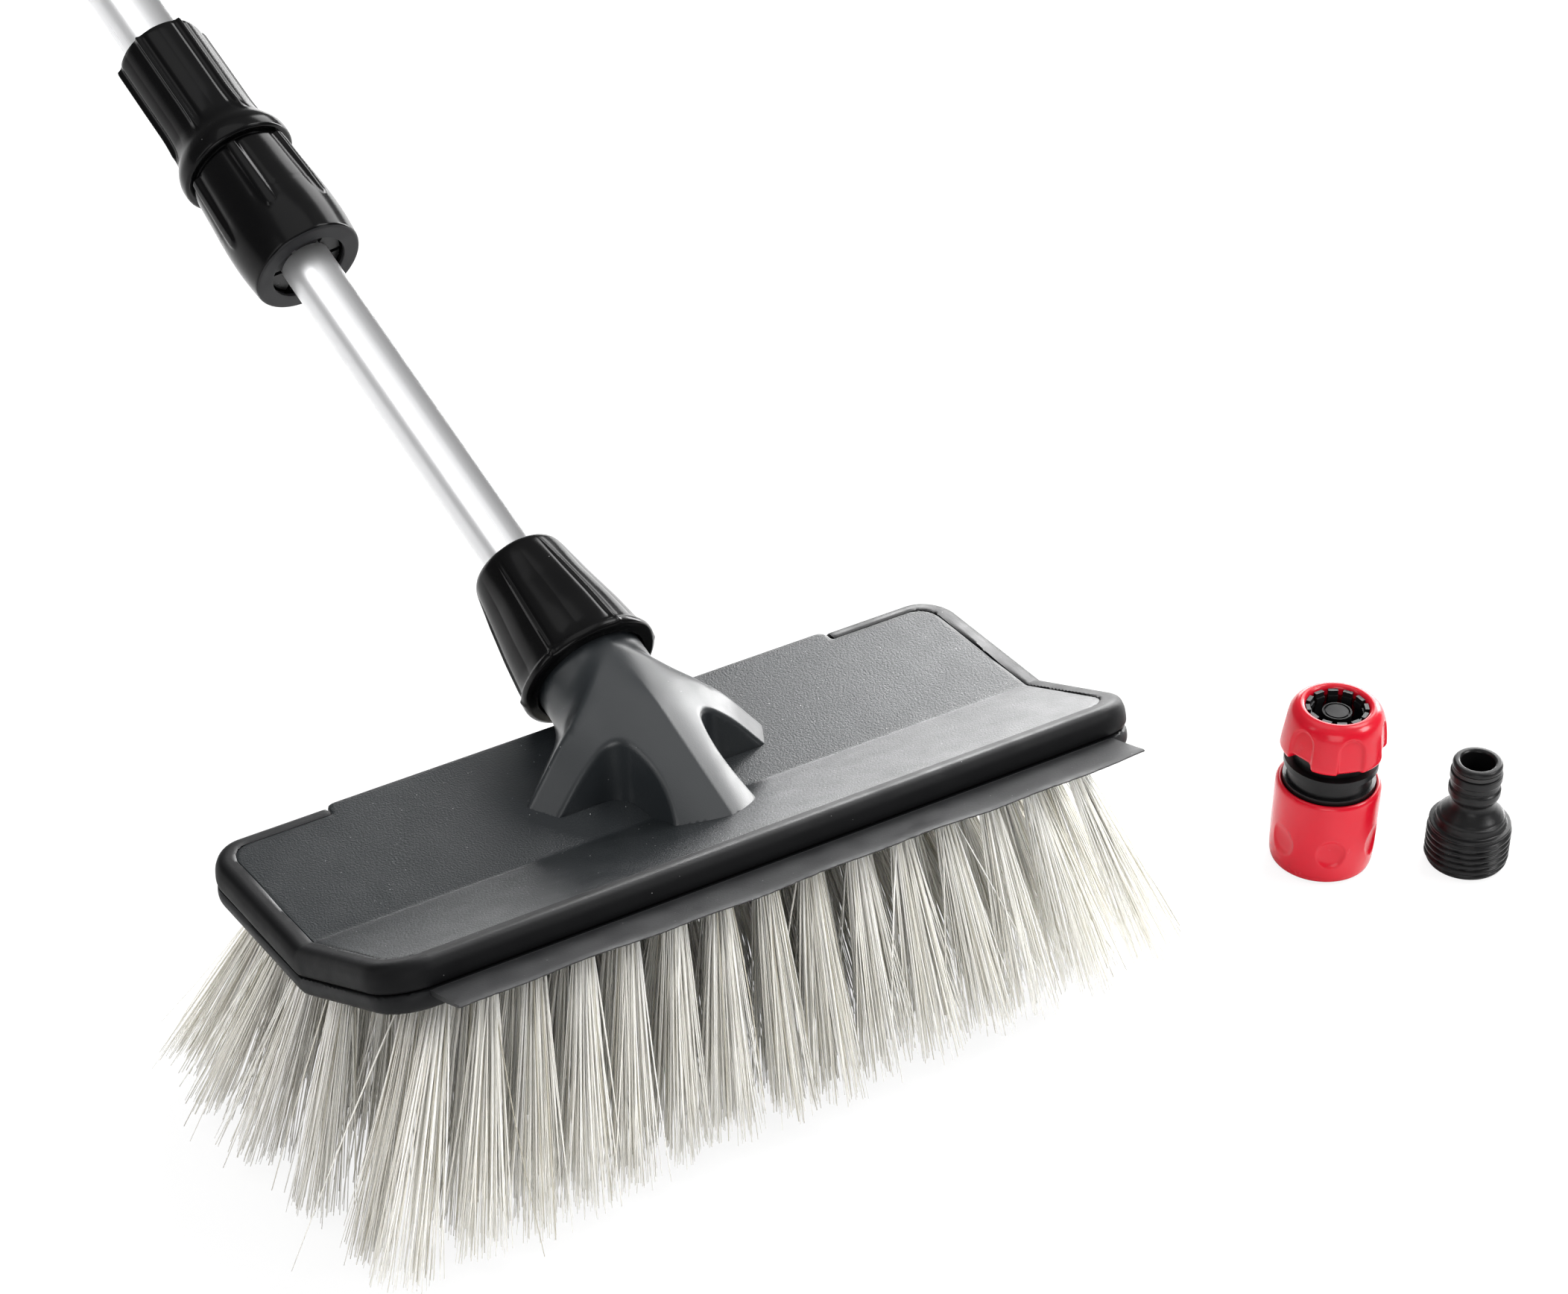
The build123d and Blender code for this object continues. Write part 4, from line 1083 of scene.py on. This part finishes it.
# ------------------------------------------------------------------ floor and world, metres
def pale_floor():
    half, z = 14.0, -0.0004
    mesh = bpy.data.meshes.new("floor")
    mesh.from_pydata([(-half, -half, z), (half, -half, z), (half, half, z), (-half, half, z)],
                     [], [(0, 1, 2, 3)])
    floor = bpy.data.objects.new("floor", mesh)
    scene.collection.objects.link(floor)
    material, nodes, surface, output = new_material("pale_floor")
    vector = nodes.coords()
    rays = nodes.add("LightPath").outputs
    clouds = nodes.noise(vector, scale=1.5, detail=2)
    cloud_share = nodes.remap(clouds, source=(0.3, 0.7), target=(0, 0.3))
    paper = nodes.mix(cloud_share, (0.90, 0.90, 0.90), (0.88, 0.88, 0.88))
    # reflections see a darker floor
    colour = nodes.mix(rays["Is Glossy Ray"], paper, (0.50, 0.50, 0.50))
    nodes.fill(surface, {"Base Color": colour, "Roughness": 0.9, "Specular IOR Level": 0.1})
    # the floor glows where the camera sees it, so contact shadows stay faint
    glow = nodes.add("Emission", {"Color": (1, 1, 1), "Strength": 1.0})
    glow_share = nodes.math("MULTIPLY", rays["Is Camera Ray"], 0.86)
    both = nodes.add("MixShader", {0: glow_share, 1: surface.outputs[0], 2: glow.outputs[0]})
    nodes.fill(output, {0: both.outputs[0]})
    mesh.materials.append(material)
    floor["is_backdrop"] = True


def studio_world():
    """White to the camera; for light, dim near the horizon and brighter overhead."""
    world = bpy.data.worlds.new("studio")
    scene.world = world
    world.use_nodes = True
    nodes = Nodes(world.node_tree)
    output = nodes.add("OutputWorld")
    studio = nodes.add("Background")
    backdrop = nodes.add("Background", {"Color": (1, 1, 1), "Strength": 1.0})
    direction = nodes.add("SeparateXYZ", {0: nodes.add("TexCoord").outputs["Generated"]})
    # height of the direction, grey level
    levels = [(0.0, 0.24), (0.25, 0.22), (0.60, 0.28), (0.85, 0.65), (1.0, 0.85)]
    grey = nodes.ramp(direction.outputs[2], [(height, (g, g, g)) for height, g in levels])
    rays = nodes.add("LightPath").outputs
    # strength 0.85, with 1.1 more for diffuse rays
    extra = nodes.math("MULTIPLY", rays["Is Diffuse Ray"], 1.1)
    nodes.fill(studio, {"Color": grey, "Strength": nodes.math("ADD", extra, 0.85)})
    both = nodes.add("MixShader", {0: rays["Is Camera Ray"], 1: studio.outputs[0],
                                   2: backdrop.outputs[0]})
    nodes.fill(output, {0: both.outputs[0]})


pale_floor()
studio_world()

# ------------------------------------------------------------------ lights, metres and watts
# places shared by several lights: location, target, width, height
HIGH_RIGHT = ((1.25, -0.12, 1.80), (0.05, 0.0, 0.08), 0.75, 0.75)
BACK_RIGHT = ((1.58, 0.98, 1.06), (0.0, 0.05, 0.08), 0.9, 0.9)
FRONT_RIGHT = ((1.5, -1.35, 1.45), (0.05, -0.1, 0.03), 0.7, 0.7)
# name, location, target, width, height, power
LIGHTS = [
    ("right_high_softbox", *HIGH_RIGHT, 46),
    ("back_right_softbox", *BACK_RIGHT, 58),
    ("back_low_strip", (1.35, 1.34, 0.30), (0.0, 0.0, 0.1), 1.3, 0.55, 19),
    ("right_strip", (1.9, 0.62, 0.42), (0.0, 0.05, 0.12), 0.45, 0.8, 20),
    ("overhead_softbox", (-0.35, 0.25, 2.2), (0.0, 0.0, 0.05), 1.7, 1.7, 9),
    ("left_strip", (-1.7, 0.3, 0.9), (0.0, 0.05, 0.1), 0.35, 1.4, 5.0),
    ("front_fill", (-1.5, -2.2, 1.0), (0.0, -0.1, 0.03), 1.6, 1.2, 20),
    ("front_right_key", *FRONT_RIGHT, 27),
    ("tube_top_softbox", (-1.00, 0.62, 1.38), (0.0, 0.15, 0.13), 1.15, 1.15, 15),
    ("block_near_softbox", (0.75, 0.55, 0.55), (0.08, 0.0, 0.08), 0.4, 0.4, 6.8),
    ("bumper_near_softbox", (0.35, 0.33, 0.344), (0.12, 0.02, 0.09), 0.2, 0.2, 7.5),
    ("nut_back_softbox", *BACK_RIGHT, 18),
    ("tower_left_softbox", (-1.7, 0.3, 0.9), (0.0, 0.05, 0.1), 0.5, 1.4, 5),
    ("tower_front_key", *FRONT_RIGHT, 4.5),
    ("tower_back_softbox", *BACK_RIGHT, 17),
    ("tower_high_softbox", *HIGH_RIGHT, 15),
]
for name, location, target, width, height, power in LIGHTS:
    light = bpy.data.lights.new(name, "AREA")
    light.energy = power
    light.shape = "RECTANGLE"
    light.size = width
    light.size_y = height
    lamp = bpy.data.objects.new(name, light)
    scene.collection.objects.link(lamp)
    lamp.location = location
    aim = Vector(target) - Vector(location)
    lamp.rotation_euler = aim.to_track_quat("-Z", "Y").to_euler()

# The tubes keep only the overhead softbox and one of their own, for a white core between two
# grey bands. The tower, nuts and fittings get weaker copies of lights they are left out of.
block = ["brush_block_shell"]
tower = ["socket_tower_moulding"]
tubes = ["inner_tube_skin", "outer_tube_skin"]
nuts = ["union_nut_shell", "twist_nut_shell", "lock_collar_shell"]
upright = tower + nuts
fittings = ["hose_nut_shell", "release_sleeve_shell", "threaded_adaptor_moulding"]
# collection, lights, pieces, whether the lights leave out or reach only these pieces
LIGHT_GROUPS = [
    ("tubes_left_out", ["right_strip", "left_strip", "front_fill"], tubes, "EXCLUDE"),
    ("tubes_and_tower_left_out", ["back_low_strip", "front_right_key"],
     tubes + upright, "EXCLUDE"),
    ("block_fittings_and_tower_left_out", ["right_high_softbox"],
     tubes + upright + fittings + block, "EXCLUDE"),
    ("block_and_tower_left_out", ["back_right_softbox"],
     tubes + upright + fittings + block, "EXCLUDE"),
    ("block_only", ["block_near_softbox"], block, "INCLUDE"),
    ("bumper_only", ["bumper_near_softbox"], ["bumper_rubber"], "INCLUDE"),
    ("nuts_only", ["nut_back_softbox"], nuts, "INCLUDE"),
    ("tower_alone", ["tower_left_softbox"], tower, "INCLUDE"),
    ("tower_only", ["tower_front_key"], upright, "INCLUDE"),
    ("tower_and_fittings", ["tower_back_softbox", "tower_high_softbox"],
     upright + fittings, "INCLUDE"),
    ("tubes_only", ["tube_top_softbox"], tubes, "INCLUDE"),
]
for name, lamps, pieces, state in LIGHT_GROUPS:
    group = bpy.data.collections.new(name)
    for piece in pieces:
        group.objects.link(bpy.data.objects[piece])
    for member in group.collection_objects:
        member.light_linking.link_state = state
    for lamp in lamps:
        bpy.data.objects[lamp].light_linking.receiver_collection = group

# ------------------------------------------------------------------ camera
lens = bpy.data.cameras.new("camera")
lens.sensor_fit = "HORIZONTAL"
lens.sensor_width = 36.0
lens.lens = 136.8975285
lens.clip_start = 0.05
lens.clip_end = 50
camera = bpy.data.objects.new("camera", lens)
scene.collection.objects.link(camera)
camera_right = (0.82333, -0.56553, 0.04793)
camera_up = (0.2874, 0.48825, 0.82403)
camera_back = (-0.48942, -0.66467, 0.56452)
pose = Matrix((camera_right, camera_up, camera_back)).transposed().to_4x4()
pose.translation = (-0.8282, -1.1776, 1.1187)
camera.matrix_world = pose
scene.camera = camera
scene.view_settings.view_transform = "Standard"


# ------------------------------------------------------------------ sizes
def plain(box):
    """Bounds as plain floats, whether they come as corners or as one flat list."""
    if hasattr(box[0], "__len__"):
        return [[float(value) for value in corner] for corner in box]
    return [float(value) for value in box]


bpy.context.view_layer.update()
{"cad": plain(CAD_BOX), "visual": plain(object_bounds())}
